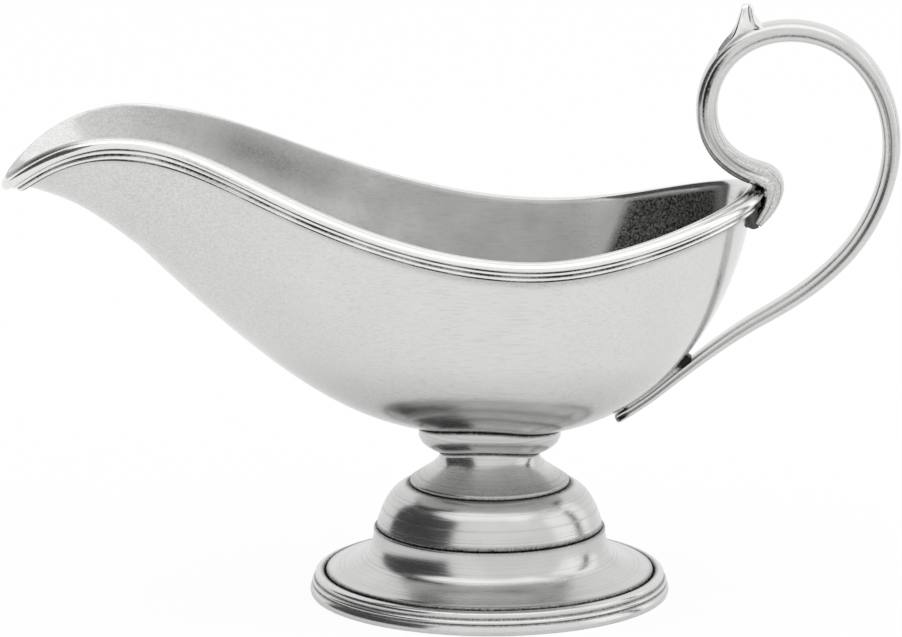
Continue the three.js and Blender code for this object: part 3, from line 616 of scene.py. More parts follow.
def moulding_outline():
    """(distance from the wall, height above the bead's centre), and patina for each point."""
    line, dirt_and_painted_shade = [(BACK, EDGE_RISE - 0.1), (0.0, EDGE_RISE)], [BACK_DIRT] * 2
    for angle in np.radians(np.linspace(*BEAD_ARC, BEAD_POINTS)):
        high = BEAD_RADIUS if angle > 0 else BEAD_DROP
        line.append((BEAD_STAND - FACET + BEAD_RADIUS * math.cos(angle), high * math.sin(angle)))
        dirt_and_painted_shade.append(max(0, -math.sin(angle) - BEAD_DIRT_FROM) * BEAD_DIRT_GROWTH * GROOVE_DIRT[0])
    top = -BEAD_DROP
    for k, width in enumerate(REED_WIDTHS):
        top -= GROOVE_WIDTH
        for share in np.linspace(0, 1, REED_POINTS):
            bulge = math.sin(math.pi * share) ** REED_FULLNESS
            line.append((REED_STAND + REED_BULGE * bulge, top - share * width))
            dark = max(0, 1 - bulge) * GROOVE_DIRT[min(1, k + (share > 0.5))]
            if k == 1 and share > JOINT_FROM:
                dark = (share - JOINT_FROM) / JOINT_RUN * JOINT_DARK
            dirt_and_painted_shade.append(min(dark, JOINT_DARK))
        top -= width
    line += [(REED_STAND * 0.9, top - 0.05), (0.5, top - FILLET), (BACK, top - FILLET - 0.1),
             line[0]]
    return np.array(line), dirt_and_painted_shade + [JOINT_DARK] * 3 + [BACK_DIRT]


# %% Moulding round the rim
GATHERS_LEAST, GATHERS_SIZE = 0.4, 9.0        # dirt gathers unevenly along the grooves
THIN_FROM, THIN_TO, THINNED = -80.0, -20.0, 0.2   # the strip is thinner round the flanks
moulding_height = EDGE_RISE + BEAD_DROP + sum(REED_WIDTHS) + GROOVE_WIDTH * 2 + FILLET
rim_line, rim_out, rim_up = [], [], []
for corners, along in frames:
    length = lengths_along(bezier(corners, np.linspace(0, 1, 200)))[-1]
    foot, top = bezier(corners, even_shares(corners, 2, 1 - moulding_height / length, 1))
    way = top - foot
    way = unit(way - along * np.dot(way, along))
    rim_line.append(top - way * EDGE_RISE)
    rim_out.append(np.cross(along, way))
    rim_up.append(way * (1 - THINNED * float(smoothstep(top[0], THIN_FROM, THIN_TO))))
closed = [np.array(values + values[:1]) for values in (rim_line, rim_out, rim_up)]
gathers = [GATHERS_LEAST + (1 - GATHERS_LEAST) * (0.5 + noise.noise(Vector(point / GATHERS_SIZE)))
           for point in closed[0]]
section, dirt_and_painted_shade = moulding_outline()
# rubbed bright along its edge: clear lights beside dark grooves
bright_pewter = pewter("rubbed_bright_pewter", "#ededec", 0.17, scratch=0.25, pits=0.03)
moulding = swept_piece("reeded_rim_moulding", *closed, section, bright_pewter, [gathers], [dirt_and_painted_shade])
dress(moulding, "bright_pewter", "rim_moulding")

# %% [markdown]
# ## The turned foot
# Five rings, each one outline spun on the foot's axis: the rail is a circle, `out` is its radius
# and `up` is the axis. Turned edges are never sharp, so each corner gets a small round that
# catches a thin highlight, and the joint between two rings is a fine dark line. In the profiles,
# a plain number is such a small round, or the place where one starts.

# %% Lathe helpers
TURN_STEPS, PROFILE_STEP = 256, 0.35
RING_JOINT = (1.3, 1.1)           # reach and strength of the patina where two rings meet
turns = np.linspace(0, 2 * math.pi, TURN_STEPS + 1)
axis_rail = np.zeros((TURN_STEPS + 1, 3))
axis_out = np.stack([np.cos(turns), np.sin(turns), 0 * turns], 1)
axis_up = np.tile([0.0, 0, 1], (TURN_STEPS + 1, 1))


def curve(*corners, steps=14):
    return [tuple(p) for p in bezier(corners, np.linspace(0, 1, steps))]


def filled(profile):
    """Adds points along a profile so that no side is long."""
    found = []
    for a, b in zip(profile, profile[1:]):
        count = max(1, int(math.dist(a, b) / PROFILE_STEP))
        found += [(a[0] + (b[0] - a[0]) * k / count, a[1] + (b[1] - a[1]) * k / count)
                  for k in range(count)]
    return found + [profile[-1]]


def turned_piece(name, node, profile, joints, slot="turned_pewter", finish=turned_pewter):
    """Spins a closed profile; its dark spots are (radius, height, reach, strength).
    Most are patina at a joint; a wide one on the stem is painted shade.
    """
    profile = np.array(filled(profile + profile[:1]))
    dirt_and_painted_shade = np.zeros(len(profile))
    for radius, height, reach, strength in joints:
        away = np.hypot(profile[:, 0] - radius, profile[:, 1] - height)
        dirt_and_painted_shade = np.maximum(dirt_and_painted_shade, (1 - away / reach) * strength)
    piece = swept_piece(name, axis_rail, axis_out, axis_up, profile, finish, grooves=[dirt_and_painted_shade])
    dress(piece, slot, node)
    return piece


# %% Foot's rim
TURNED_WALL, SOLDER_GAP = 2.2, 0.3
FOOT_RADIUS, FOOT_HEIGHT, FOOT_WIDTH, FOOT_LEDGE, BASE_INSET = 43.3, 5.4, 6.5, 2.2, 3.8
ROLL_TOP, REED_TOP, FOOT_STEP, FOOT_GROOVE = 2.2, 3.5, 0.4, 0.25
BASE_RADIUS = FOOT_RADIUS - BASE_INSET

inner, seat = FOOT_RADIUS - FOOT_WIDTH, BASE_RADIUS + SOLDER_GAP
reed, top = FOOT_RADIUS - FOOT_STEP, FOOT_RADIUS - 2 * FOOT_STEP
turned_piece("foot_rim_ring", "foot_rim", (
    [(inner, 0.0), (reed, 0.0)]
    + curve((FOOT_RADIUS - FOOT_GROOVE, 0), (FOOT_RADIUS + FOOT_GROOVE, ROLL_TOP / 2),
            (reed - FOOT_GROOVE, ROLL_TOP))
    + curve((reed - 2 * FOOT_GROOVE, ROLL_TOP + FOOT_GROOVE),
            (reed + FOOT_GROOVE, (ROLL_TOP + REED_TOP) / 2), (top - FOOT_GROOVE, REED_TOP))
    + curve((top - 2 * FOOT_GROOVE, REED_TOP + FOOT_GROOVE), (top, FOOT_HEIGHT),
            (seat + 2 * FOOT_GROOVE, FOOT_HEIGHT))
    + [(seat, FOOT_HEIGHT - FOOT_GROOVE), (seat, FOOT_LEDGE), (inner, FOOT_LEDGE)]),
    [(reed - 2 * FOOT_GROOVE, ROLL_TOP + 0.1, 0.7, 1),
     (top - 2 * FOOT_GROOVE, REED_TOP + 0.1, 0.7, 1),
     (seat, FOOT_HEIGHT - FOOT_GROOVE, *RING_JOINT)], "bright_pewter", burnished_pewter)

# %% Spreading base
BASE_TOP, BASE_NECK, FLANGE = 16.2, 27.9, 5.9
neck_inside, neck_foot = BASE_NECK - TURNED_WALL, FLANGE + (BASE_TOP - FLANGE) * 0.3
turned_piece("spreading_base_flare", "spreading_base", (
    [(BASE_RADIUS, FOOT_LEDGE), (BASE_RADIUS, FLANGE - 0.7), (BASE_RADIUS - 0.15, FLANGE - 0.25),
     (BASE_RADIUS - 0.5, FLANGE)]
    + curve((BASE_RADIUS - 1.4, FLANGE + 0.1), (BASE_NECK + 3, FLANGE + 2),
            (BASE_NECK + 0.4, neck_foot), (BASE_NECK, BASE_TOP - 1.2), steps=40)
    + curve((BASE_NECK, BASE_TOP - 0.6), (BASE_NECK, BASE_TOP), (BASE_NECK - 0.6, BASE_TOP),
            steps=8)
    + [(neck_inside, BASE_TOP)]
    + curve((neck_inside, BASE_TOP - 2.5), (neck_inside + 0.3, neck_foot - 1.7),
            (neck_inside + 4, FLANGE + 0.4), (BASE_RADIUS - 3, FLANGE - TURNED_WALL))
    + [(BASE_RADIUS - 1.4, FOOT_LEDGE)]),
    [(BASE_RADIUS, FLANGE - 0.7, *RING_JOINT), (BASE_NECK - 0.8, BASE_TOP, *RING_JOINT)])

# %% Domed step
DOME_FOOT, DOME_TOP, DOME_TOP_RADIUS, STEM_FOOT = 27.3, 26.9, 19.6, 19.2
HOLLOW_SHOULDER = 3.0
dome_rise, dome_inside = DOME_TOP - BASE_TOP, DOME_FOOT - TURNED_WALL
stem_seat = STEM_FOOT - TURNED_WALL
turned_piece("domed_step", "domed_tier", (
    [(DOME_FOOT - 0.3, BASE_TOP)]
    + curve((DOME_FOOT, BASE_TOP + 0.4), (DOME_FOOT - 1.1, BASE_TOP + 0.34 * dome_rise),
            (DOME_FOOT - 2.4, DOME_TOP - 0.16 * dome_rise),
            (DOME_TOP_RADIUS + 0.4, DOME_TOP - 0.1), steps=36)
    + [(DOME_TOP_RADIUS, DOME_TOP), (stem_seat, DOME_TOP)]
    + curve((stem_seat, DOME_TOP - TURNED_WALL),
            (dome_inside - TURNED_WALL, DOME_TOP - HOLLOW_SHOULDER), (dome_inside, BASE_TOP))),
    [(DOME_FOOT - 0.2, BASE_TOP, 1.7, 1.1), (STEM_FOOT + 0.1, DOME_TOP, 1.5, 1.1)])

# %% [markdown]
# ## Stem and collar under the keel
# The boat's underside is not flat, so the collar was filed to a saddle, and stem and collar meet
# higher at the sides than fore and aft. After the lathe, each point is raised by how far it lies
# to the side, and the collar's top is let into the hull.

# %% Saddle
SADDLE_RISE = 2.1


def saddle(piece, low, high):
    """Raises the sides of a turned piece, more and more from one height to the other."""
    for point in piece.data.vertices:
        x, y, z = point.co / MM
        side = y * y / ((x - FOOT_AXIS_X) ** 2 + y * y)
        point.co.z += SADDLE_RISE * side * float(smoothstep(z, low, high)) * MM


# %% Waisted stem
STEM_EDGE, STEM_FLARE, STEM_WAIST, STEM_TOP = 0.9, 4.2, 12.0, 34.8
stem_bore, edge_height, stem_end = STEM_WAIST - TURNED_WALL, DOME_TOP + STEM_EDGE, STEM_TOP - 0.1
stem_rise = stem_end - edge_height
stem = turned_piece("waisted_stem", "stem", (
    [(STEM_FOOT - 0.2, DOME_TOP)]
    + curve((STEM_FOOT - 0.05, DOME_TOP + 0.1), (STEM_FOOT, DOME_TOP + 0.4),
            (STEM_FOOT - 0.1, edge_height), steps=6)
    + curve((STEM_FOOT - 0.4, edge_height + 0.2), (STEM_WAIST + STEM_FLARE,
            edge_height + 0.3 * stem_rise), (STEM_WAIST + 0.2, edge_height + 0.55 * stem_rise),
            (STEM_WAIST, stem_end - 0.6), steps=30)
    + [(STEM_WAIST + 0.4, stem_end), (stem_bore, stem_end)]
    + curve((stem_bore, stem_end - HOLLOW_SHOULDER), (stem_bore, DOME_TOP + HOLLOW_SHOULDER),
            (stem_seat, DOME_TOP))),
    # patina at the foot and top joints, and between them a wide, faint spot of painted shade: the
    # dark dome and the bowl's underside mirrored in the stem's lower flare
    [(STEM_FOOT - 0.2, DOME_TOP, 1, 1), (STEM_FOOT, DOME_TOP, 9, 0.4),
     (STEM_WAIST + 0.4, stem_end, 1, 1)])
saddle(stem, edge_height, stem_end)

# %% Collar under the bowl
COLLAR_RADIUS, COLLAR_SHOULDER, COLLAR_HEAD, COLLAR_BORE = 17.1, 38.8, 6.0, 9.4
HULL_GAP, HULL_JOINT_DARK, HULL_JOINT_REACH = 0.1, 1.4, 1.0
collar_root, collar_top = STEM_WAIST + 0.4, KEEL_HEIGHT + COLLAR_HEAD
collar = turned_piece("cushion_collar", "collar", (
    [(COLLAR_BORE, STEM_TOP), (collar_root, STEM_TOP)]
    + curve((collar_root + 0.4, STEM_TOP + 0.1), (COLLAR_RADIUS - 0.6, STEM_TOP + 1.6),
            (COLLAR_RADIUS, COLLAR_SHOULDER), steps=22)
    + [(COLLAR_RADIUS, collar_top), (COLLAR_BORE, collar_top)]),
    [(collar_root, STEM_TOP, 0.9, 1)])
saddle(collar, 0, STEM_TOP)
hull_tree = BVHTree.FromObject(bowl, bpy.context.evaluated_depsgraph_get())
# the wall that stands into the hull is pressed down under it, and its faces there have no area
for point, dirt_and_painted_shade in zip(collar.data.vertices, collar.data.attributes["patina"].data):
    hit = hull_tree.ray_cast(Vector((point.co.x, point.co.y, 0)), Vector((0, 0, 1)))[0]
    if hit:
        point.co.z = min(point.co.z, hit.z - HULL_GAP * MM)
        under = (hit.z - point.co.z) / MM / HULL_JOINT_REACH
        dirt_and_painted_shade.value = max(dirt_and_painted_shade.value, (1 - under) * HULL_JOINT_DARK)

# %% [markdown]
# ## The handle
# A reeded bar, bent in the plane of the keel. It starts as a broad knuckle at the rim, loops over
# and runs down the back of the bowl as a thin strap. The rail is its centre line, drawn through
# stations that each have a place, a direction and a size. The section is a broad outer reed over
# a narrow inner one, with a groove down each side.

# %% Stations of the bar
LOOP_RISE, LOOP_TOP_AT, LOOP_FRONT_AT = 41.4, 71.5, 51.6
LOOP_FRONT_RISE, LOOP_BACK_RISE = 20, 11.5
STRAP_SEAT_START, STRAP_SEAT_END, STRAP_END_GAP, STRAP_END_LIFT = 0.39, 0.27, 0.3, 4
# width and thickness
TIP_BAR, KNUCKLE_BAR, SHOULDER_BAR, FRONT_BAR, TOP_BAR = (
    (9, 2.4), (12, 5.4), (10.4, 5.2), (8.6, 5.1), (8.6, 4.9))
BACK_BAR, BEND_BAR, RUN_BAR, STRAP_BAR = (8.6, 4.3), (8.2, 3.95), (7.6, 3.4), (7.2, 2.4)
wall_x = rear_profile[3][0]


def strap_station(share, gap, lift, before, after):
    """A station where the strap lies on the hull's rear frame."""
    at = even_shares(rear_profile, 2, share, 1)[0]
    place, way = bezier(rear_profile, at)[0], -bezier_slope(rear_profile, at)[0]
    out = np.array([-way[2], way[0]])
    angle = math.degrees(math.atan2(way[2], way[0])) + lift
    return place[[0, 2]] + out * (STRAP_BAR[1] / 2 + gap), angle, before, after, STRAP_BAR


# place, direction in degrees, pull before and after as shares of the way there, and size
BAR_STATIONS = [
    ((wall_x + 0.8, REAR_HEIGHT - 7.4), 54, 0, 0.3, TIP_BAR),
    ((wall_x + 4.25, REAR_HEIGHT + 0.9), 90, 0.37, 0.4, KNUCKLE_BAR),
    ((wall_x - 3, REAR_HEIGHT + 5.8), 152, 0.46, 0.31, SHOULDER_BAR),
    ((LOOP_FRONT_AT, REAR_HEIGHT + LOOP_FRONT_RISE), 90, 0.46, 0.38, FRONT_BAR),
    ((LOOP_TOP_AT, REAR_HEIGHT + LOOP_RISE - TOP_BAR[1] / 2), 0, 0.43, 0.4, TOP_BAR),
    ((HANDLE_REACH - FACET - BACK_BAR[1] / 2, REAR_HEIGHT + LOOP_BACK_RISE), -90, 0.4, 0.37,
     BACK_BAR),
    ((HANDLE_REACH - 13.6, REAR_HEIGHT - 16.15), -133, 0.27, 0.38, BEND_BAR),
    ((wall_x + 1.6, REAR_HEIGHT - 30.9), -149.3, 0.36, 0.34, RUN_BAR),
    strap_station(STRAP_SEAT_START, SOLDER_GAP, 0, 0.3, 0.3),
    strap_station(STRAP_SEAT_END, SOLDER_GAP + STRAP_END_GAP, STRAP_END_LIFT, 0.3, 0)]

# %% Centre line of the bar
BAR_STEPS, FINE_STEPS = 420, 200
fine_points, fine_ways, station_at = [], [], [0]
for (a, turn_a, _, after, _), (b, turn_b, before, _, _) in zip(BAR_STATIONS, BAR_STATIONS[1:]):
    a, b = np.array(a), np.array(b)
    start, end = [np.array([math.cos(math.radians(t)), math.sin(math.radians(t))])
                  * math.dist(a, b) for t in (turn_a, turn_b)]
    corners = [a, a + start * after, b - end * before, b]
    shares = np.linspace(0, 1, FINE_STEPS)
    fine_points.append(bezier(corners, shares))
    fine_ways.append(bezier_slope(corners, shares))
    station_at.append(station_at[-1] + lengths_along(fine_points[-1])[-1])
fine_points, fine_ways = np.concatenate(fine_points), np.concatenate(fine_ways)
fine_travelled = lengths_along(fine_points)
bar_length = fine_travelled[-1]


def bar_at(travelled):
    """Place, direction and normal of the bar's centre line at distances from its knuckle."""
    place, way = [np.stack([np.interp(travelled, fine_travelled, column) for column in values.T],
                           -1) for values in (fine_points, fine_ways)]
    way = unit(way)
    return place, way, np.stack([-way[..., 1], way[..., 0]], -1)


print("bar of", round(bar_length, 1), "mm")

# %% [markdown]
# The section is a few corners, rounded by cutting each corner off three times, as a file would.
# Its grooves keep patina, most where the bar bulges over the bowl and at the strap's end, and
# least at the back of the loop, where fingers rub it.

# %% Section of the bar
BAR_HALF_SECTION = [(1, 0), (1, 0.3), (0.93, 0.72), (0.62, 0.97), (0.15, 1), (-0.2, 0.84),
                    (-0.42, 0.86), (-0.75, 0.84), (-1, 0.5), (-1, 0)]
GROOVE_PLACES, GROOVE_REACH, GROOVE_SIDE = (-0.25, 0.3, 0.05), 0.13, 0.7


def both_sides(half):
    """A whole section from its half on one side."""
    return half + [(n, -y) for n, y in half[-2:0:-1]]


def rounded(points, cuts=3):
    """A smooth closed line, by cutting the corners of the points again and again."""
    points = np.array(points, float)
    for _ in range(cuts):
        ahead = np.roll(points, -1, 0)
        points = np.stack([points * 0.75 + ahead * 0.25, points * 0.25 + ahead * 0.75],
                          1).reshape(-1, 2)
    return np.concatenate([points, points[:1]])


section = rounded(both_sides(BAR_HALF_SECTION))
bar_grooves = [np.exp(-((section[:, 0] - place) / GROOVE_REACH) ** 2)
               * (abs(section[:, 1]) > GROOVE_SIDE) for place in GROOVE_PLACES]
print("bar section of", len(section), "points")

# %% Size and patina along the bar
travelled = np.linspace(0, bar_length, BAR_STEPS)
bar_place, bar_way, bar_normal = bar_at(travelled)
wide, thick = [np.interp(travelled, station_at, [s[4][k] for s in BAR_STATIONS]) for k in (0, 1)]
front, over = station_at[3], station_at[4]
# distance along the bar, and how dark each of the three grooves is there
BAR_PATINA = [(12, 0, 0, 0), (18, 0.7, 0, 0.4), (front - 8, 0.45, 0.2, 0.5),
              (front, 0.1, 1.0, 0.3), (front + 4, 0.1, 1.5, 0.9), (front + 10, 0.2, 1.5, 0.6),
              (front + 16, 0.4, 0.2, 0), (over, 0.75, 0, 0), (station_at[5], 0.5, 0.3, 0.3),
              (station_at[6], 0.3, 0.1, 0.5), (station_at[7], 0.3, 0, 0.3),
              (bar_length - 3, 0.4, 0, 0.4), (bar_length - 1, 1.5, 1.2, 1.5),
              (bar_length, 1.5, 1.5, 1.5)]
gathers = [np.interp(travelled, *zip(*[(at[0], at[k]) for at in BAR_PATINA])) for k in (1, 2, 3)]
print("bar from", thick.min(), "to", thick.max(), "mm thick")

# %% Bar
# the strap's end is filed round, and the knuckle was never rubbed smooth
END_ROUND, END_LEANS, KNUCKLE_ROUGH_TO = 1.1, (30, 55, 75), 26.0


def upright(pairs):
    """Pairs in the plane of the keel as points or directions in space."""
    return np.stack([pairs[:, 0], 0 * pairs[:, 0], pairs[:, 1]], 1)


rail = upright(bar_place)
bar_out = upright(bar_normal) * thick[:, None] / 2
bar_up = np.array([[0.0, 1, 0]]) * wide[:, None] / 2
last_way = upright(bar_way[-1:])
last_place, last_out, last_up = rail[-1:], bar_out[-1:], bar_up[-1:]
for lean in np.radians(END_LEANS):
    rail = np.r_[rail, last_place + last_way * END_ROUND * math.sin(lean)]
    bar_out = np.r_[bar_out, last_out * math.cos(lean) ** 0.6]
    bar_up = np.r_[bar_up, last_up * math.cos(lean) ** 0.3]
    gathers = [np.r_[g, g[-1] * 0.3] for g in gathers]
handle = capped_sweep("reeded_handle_bar", rail, bar_out, bar_up, section, burnished_pewter,
                      gathers, bar_grooves)
knuckle = np.array(BAR_STATIONS[1][0])
away = np.array([math.dist((point.co.x / MM - FOOT_AXIS_X, point.co.z / MM), knuckle)
                 for point in handle.data.vertices])
mark(handle.data, pitting=1 - smoothstep(away, KNUCKLE_ROUGH_TO / 3, KNUCKLE_ROUGH_TO))
dress(handle, "bright_pewter", "handle")

# %% [markdown]
# ## The thumb leaf
# A small horn soldered on the front shoulder of the loop, so that the thumb holds the boat while
# it pours. Its side is fluted: a groove between a thin front edge and a ridge along the bar. It
# is a grid of rows from root to tip. Each row is one section, stretched between the leaf's front
# line and its back line. The first row is left open inside the bar, and the last rows close in
# to a rounded tip.

# %% Lines of the leaf
LEAF_RISE, LEAF_WIDTH, LEAF_TIP_WIDTH, LEAF_TAPER = 4.3, 8.0, 4.6, 8.0
LEAF_ROOT, LEAF_MIDDLE, LEAF_END, LEAF_LEAN, LEAF_STAND = 33.0, 53.0, 61.0, 4.6, 3.2
LEAF_STEPS, TIP_STEPS, TIP_DOME = 70, 10, 1.05
# corners of the horn's two edges, counted from its tip
HORN_FRONT = [(-3.2, -7), (-2.3, -3.8), (-1.55, -1.4)]
HORN_BACK = [(2.2, -5), (1.6, -3.2), (1.25, -1.4)]


def beside_bar(travelled, stand):
    place, _, normal = bar_at(travelled)
    return place + normal * stand


leaf_top = REAR_HEIGHT + LOOP_RISE + LEAF_RISE
tip = np.array([beside_bar(LEAF_END, 0)[0] - LEAF_LEAN, leaf_top])
low_front = [beside_bar(LEAF_ROOT, 0)] + [
    beside_bar(LEAF_ROOT + (LEAF_MIDDLE - LEAF_ROOT) * k, LEAF_STAND) for k in (0.25, 0.75, 1)]
high_front = [low_front[-1], *(tip + HORN_FRONT)]
high_back = [beside_bar(LEAF_END, TOP_BAR[1] * 0.4), *(tip + HORN_BACK)]
fine = np.linspace(0, 1, FINE_STEPS)
front_line = np.concatenate([bezier(low_front, fine), bezier(high_front, fine)])
back_line = np.concatenate([beside_bar(np.linspace(LEAF_ROOT, LEAF_END, FINE_STEPS), 0),
                            bezier(high_back, fine)])

# %% Leaf
LEAF_HALF_SECTION = [(0, 0), (0, 0.5), (0.03, 0.84), (0.12, 0.95), (0.3, 0.72), (0.5, 0.6),
                     (0.7, 0.7), (0.86, 0.98), (0.97, 0.95), (1, 0.5), (1, 0)]
ROOT_WIDTH, ROOT_TO = 0.25, 0.4   # the leaf starts this narrow, and is full from here
FLUTE_AT, FLUTE_REACH, FLUTE_SIDE, FLUTE_DARK = 0.45, 0.25, 0.3, 0.7
FRONT_EDGE_REACH, FRONT_EDGE_DARK = 0.06, 0.9
DARK_SHARES = (0.1, 0.4, 0.7, 0.92)

across, beside = rounded(both_sides(LEAF_HALF_SECTION)).T
shares = np.linspace(0, 1, LEAF_STEPS)
leaf_rows = []
for share in shares:
    front, back = [np.array([np.interp(share * lengths_along(line)[-1], lengths_along(line), c)
                             for c in line.T]) for line in (front_line, back_line)]
    flat = front + (back - front) * across[:, None]
    taper = smoothstep((front[1] + back[1]) / 2, leaf_top - LEAF_TAPER, leaf_top)
    half = (LEAF_WIDTH + (LEAF_TIP_WIDTH - LEAF_WIDTH) * taper) / 2
    half *= ROOT_WIDTH + (1 - ROOT_WIDTH) * float(smoothstep(share, 0, ROOT_TO))
    leaf_rows.append(np.stack([flat[:, 0], beside * half, flat[:, 1]], 1))
last = leaf_rows[-1]
for lean in np.linspace(0, math.pi / 2, TIP_STEPS)[1:]:
    middle = last.mean(0)
    leaf_rows.append(middle + (last - middle) * math.cos(lean)
                     + np.array([-0.1, 0, 1]) * TIP_DOME * math.sin(lean))
# patina lies in the flute and behind the front edge, but not at the root or on the tip
dark = (FLUTE_DARK * np.exp(-((across - FLUTE_AT) / FLUTE_REACH) ** 2) * (abs(beside) > FLUTE_SIDE)
        + FRONT_EDGE_DARK * np.exp(-(across / FRONT_EDGE_REACH) ** 2))
fade = smoothstep(shares, *DARK_SHARES[:2]) - smoothstep(shares, *DARK_SHARES[2:])
fade = np.r_[fade, np.zeros(TIP_STEPS - 1)]
leaf = mesh_piece("thumb_leaf_horn", np.array(leaf_rows), bright_pewter,
                  patina=fade[:, None] * dark[None])
dress(leaf, "bright_pewter", "thumb_leaf")

# %% [markdown]
# ## Solder
# Soft solder holds the handle. It shows in three places: as a dark block under the knuckle, as a
# lump in the notch beside it, and as a line along the strap that is black at both ends. Lumps
# are boxes that were divided, rounded and pushed out by noise with a fixed offset. The line is
# swept along the hull, and each of its sections reaches out to the strap.

# %% Lumps of solder
# lead-grey and never polished: dark, rough and uneven
solder = pewter("old_solder", "#5c5c5a", 0.35, scratch=0.5, mottle=0.3)
LUMP_CUTS, LUMP_BOXINESS, LUMP_UNEVEN, LUMP_SCALE = 9, 0.55, 0.12, 1.7


def solder_lump(name, place, size, offset):
    """A rounded lump at a place in the plane of the keel; size is along it, across and high."""
    work = bmesh.new()
    bmesh.ops.create_cube(work, size=1)
    bmesh.ops.subdivide_edges(work, edges=work.edges, cuts=LUMP_CUTS, use_grid_fill=True)
    for point in work.verts:
        box = np.array(point.co) * 2
        ball = unit(box)
        share = box * LUMP_BOXINESS + ball * (1 - LUMP_BOXINESS)
        share *= 1 + LUMP_UNEVEN * noise.noise(Vector(ball * LUMP_SCALE) + Vector((offset, 0, 0)))
        point.co = Vector(to_frame(np.array([place[0], 0, place[1]]) + share * np.array(size) / 2))
    mesh = bpy.data.meshes.new(name)
    work.to_mesh(mesh)
    work.free()
    dress(finished(name, mesh, solder), "bright_pewter")


solder_lump("solder_under_knuckle", (wall_x - 0.4, REAR_HEIGHT - 5.8), (3.4, 7, 6.2), 0)
solder_lump("solder_beside_knuckle", (wall_x + 0.4, REAR_HEIGHT - 0.8), (2.4, 13, 5), 5)

# %% Solder along the strap
SEAM_STEPS, SEAM_WIDTH, SEAM_SINK = 60, 6.2, 0.2
SEAM_FROM, SEAM_TO = STRAP_SEAT_END + 0.022, STRAP_SEAT_START + 0.12
SEAM_HALF_SECTION = [(1, 0), (1, 0.5), (0.5, 0.44), (0, 0.5), (0, 0)]
# row of the seam, and how dark it is there
SEAM_PATINA = [(0, 1.1), (4, 0.35), (SEAM_STEPS - 14, 0.35), (SEAM_STEPS - 6, 1.4)]

seam_shares = even_shares(rear_profile, SEAM_STEPS, SEAM_FROM, SEAM_TO)
seam_place = bezier(rear_profile, seam_shares)[:, [0, 2]]
seam_way = bezier_slope(rear_profile, seam_shares)[:, [0, 2]]
seam_normal = np.stack([seam_way[:, 1], -seam_way[:, 0]], 1)
inner_face = (bar_place - bar_normal * thick[:, None] / 2)[BAR_STEPS // 2:]
filled_to = []
for place, normal in zip(seam_place, seam_normal):
    away = inner_face - place
    nearest = np.argmin(abs(away[:, 0] * normal[1] - away[:, 1] * normal[0]))
    filled_to.append(float(away[nearest] @ normal) + 2 * SEAM_SINK)
seam_out = upright(seam_normal * np.array(filled_to)[:, None])
seam_up = np.tile([0.0, SEAM_WIDTH, 0], (SEAM_STEPS, 1))
black_at = np.interp(np.arange(SEAM_STEPS), *zip(*SEAM_PATINA))
seam = capped_sweep("solder_along_strap", upright(seam_place - seam_normal * SEAM_SINK),
                    seam_out, seam_up, both_sides(SEAM_HALF_SECTION) + SEAM_HALF_SECTION[:1],
                    burnished_pewter, [black_at], [1])
dress(seam, "bright_pewter")
print("solder fills up to", round(max(filled_to), 2), "mm")

# %% [markdown]
# ## The stage
# The photograph was taken on white, so the floor is plain and pale, and the world is white where
# a metal or the camera looks at it. Two softboxes and the world together light a white surface
# to just about white. Pewter only shows what surrounds it, so a broad dark card stands to the
# left of the camera and a narrow one behind on the right, to give the metal its darks.

# %% Camera
# fitted to the foot's ellipses and the rim; the camera looks at this place
VIEW_AT, VIEW_HEIGHT = -9.309, 67.114
TARGET = Vector(to_frame((VIEW_AT, 0, VIEW_HEIGHT)))
CAMERA_TURN, CAMERA_RISE, CAMERA_DISTANCE = math.radians(2.5), math.radians(12.696), 1.8
PIXELS_PER_MM, FRAME_WIDTH, SENSOR = 4.17, 902, 36
camera_data = bpy.data.cameras.new("camera")
camera_data.sensor_width = SENSOR
camera_data.lens = PIXELS_PER_MM * CAMERA_DISTANCE / MM * SENSOR / FRAME_WIDTH
camera_data.clip_end = 50
back = Vector((math.sin(CAMERA_TURN) * math.cos(CAMERA_RISE),
               -math.cos(CAMERA_TURN) * math.cos(CAMERA_RISE), math.sin(CAMERA_RISE)))


def aimed(name, data, place, back):
    """Places a camera or a lamp, and turns its back this way."""
    item = put_in_scene(name, data)
    item.location = place
    item.rotation_mode = "QUATERNION"
    item.rotation_quaternion = back.to_track_quat("Z", "Y")
    return item


bpy.context.scene.camera = aimed("camera", camera_data, TARGET + back * CAMERA_DISTANCE, back)
print("lens:", round(camera_data.lens, 1), "mm")

# %% Floor
FLOOR_REACH, PAPER_SEEN, PAPER_MIRRORED = 6.0, 0.93, 0.35


def stage_sheet(name, corners, material, faces=((0, 1, 2, 3),)):
    """A sheet that isn't part of the object."""
    mesh = new_mesh(name, corners, faces)
    mesh.materials.append(material)
    sheet = put_in_scene(name, mesh)
    return sheet


def ray_kinds(tree, *kinds):
    """1 where the light path is one of these kinds of ray."""
    rays = tree.nodes.new("ShaderNodeLightPath").outputs
    found = rays[kinds[0]]
    for kind in kinds[1:]:
        found = add_node(tree, "ShaderNodeMath", {0: found, 1: rays[kind]}, operation="MAXIMUM")
    return found


paper, tree = new_material("white_paper")
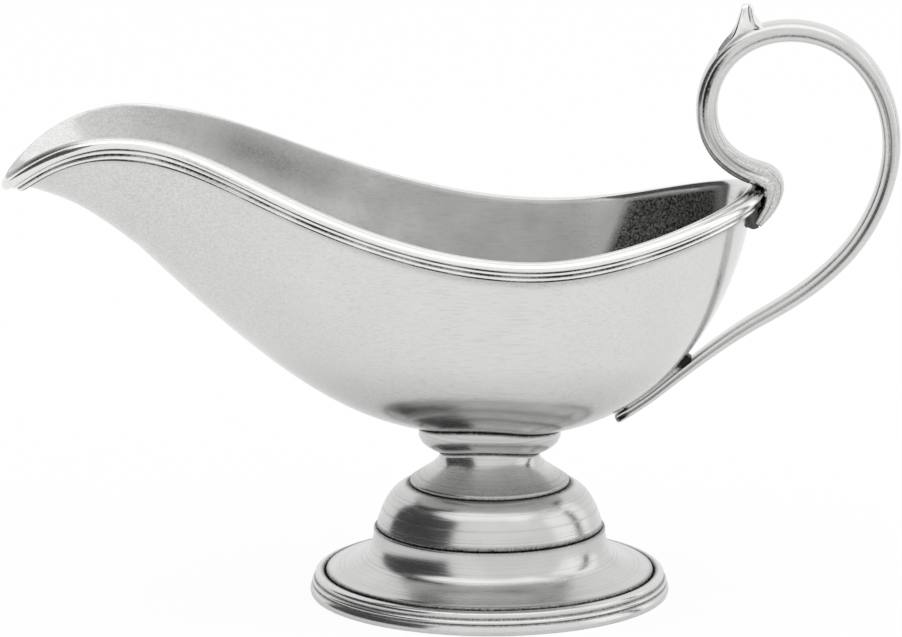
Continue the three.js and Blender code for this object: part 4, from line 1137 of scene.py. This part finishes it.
# the camera and the metal see mostly plain white paper, and a little of its shadow
direct, mirrored = [
    add_node(tree, "ShaderNodeMath", {0: ray_kinds(tree, *kinds), 1: share}, operation="MULTIPLY")
    for share, *kinds in ((PAPER_SEEN, "Is Camera Ray", "Is Transmission Ray"),
                          (PAPER_MIRRORED, "Is Glossy Ray"))]
lift = add_node(tree, "ShaderNodeMath", {0: direct, 1: mirrored}, operation="MAXIMUM")
matt = add_node(tree, "ShaderNodeBsdfDiffuse", {"Color": linear("#fbfbfb")})
glow = add_node(tree, "ShaderNodeEmission", {"Color": (1, 1, 1, 1), "Strength": 1.0})
mixed = add_node(tree, "ShaderNodeMixShader", {0: lift, 1: matt, 2: glow})
add_node(tree, "ShaderNodeOutputMaterial", {"Surface": mixed})
stage_sheet("floor", [(x * FLOOR_REACH, y * FLOOR_REACH, 0)
                      for x, y in ((-1, -1), (1, -1), (1, 1), (-1, 1))], paper)

# %% World and lamps
WORLD_LEVEL = 0.86                # for matt surfaces; the lamps bring them up to 1
world = bpy.data.worlds.new("studio")
bpy.context.scene.world = world
world.use_nodes = True
tree = world.node_tree
tree.nodes.clear()
seen = ray_kinds(tree, "Is Camera Ray", "Is Glossy Ray", "Is Transmission Ray")
strength = add_node(tree, "ShaderNodeMapRange", {"Value": seen, "To Min": WORLD_LEVEL})
sky = add_node(tree, "ShaderNodeBackground", {"Color": (1, 1, 1, 1), "Strength": strength})
add_node(tree, "ShaderNodeOutputWorld", {"Surface": sky})


def softbox(name, place, width, depth, brightness, aim=(0, 0, 0.07)):
    """An area lamp whose face is so many times as bright as white paper."""
    lamp = bpy.data.lights.new(name, "AREA")
    lamp.shape, lamp.size, lamp.size_y = "RECTANGLE", width, depth
    lamp.energy = brightness * math.pi * width * depth
    aimed(name, lamp, place, Vector(place) - Vector(aim))


softbox("overhead_softbox", (0, -0.1, 1.3), width=1.9, depth=1.5, brightness=0.4)
softbox("right_softbox", (1.26, 0.25, 0.5), width=1.3, depth=1.1, brightness=0.3)

# %% Dark cards
CARD_STEP, CARD_DISTANCE = 2, 0.9
felt, tree = new_material("dark_felt")
cloth = add_node(tree, "ShaderNodeBsdfDiffuse", {"Color": linear("#4e4e4e")})
add_node(tree, "ShaderNodeOutputMaterial", {"Surface": cloth})


def dark_card(name, start, end, high):
    """A bent card on the floor that only reflections see.
    Azimuths count from the camera's side of the foot's axis."""
    corners = [(math.sin(azimuth) * CARD_DISTANCE + FOOT_AXIS_X * MM,
                -math.cos(azimuth) * CARD_DISTANCE, height)
               for azimuth in np.radians(np.arange(start, end + CARD_STEP, CARD_STEP))
               for height in (0, high)]
    faces = [(k, k + 1, k + 3, k + 2) for k in range(0, len(corners) - 2, 2)]
    card = stage_sheet(name, corners, felt, faces)
    for kind in ("camera", "diffuse", "shadow"):
        setattr(card, "visible_" + kind, False)


dark_card("left_dark_card", start=-120, end=-38, high=0.95)
dark_card("right_dark_card", start=104, end=112, high=0.6)

# %% View
bpy.context.scene.view_settings.view_transform = "Standard"
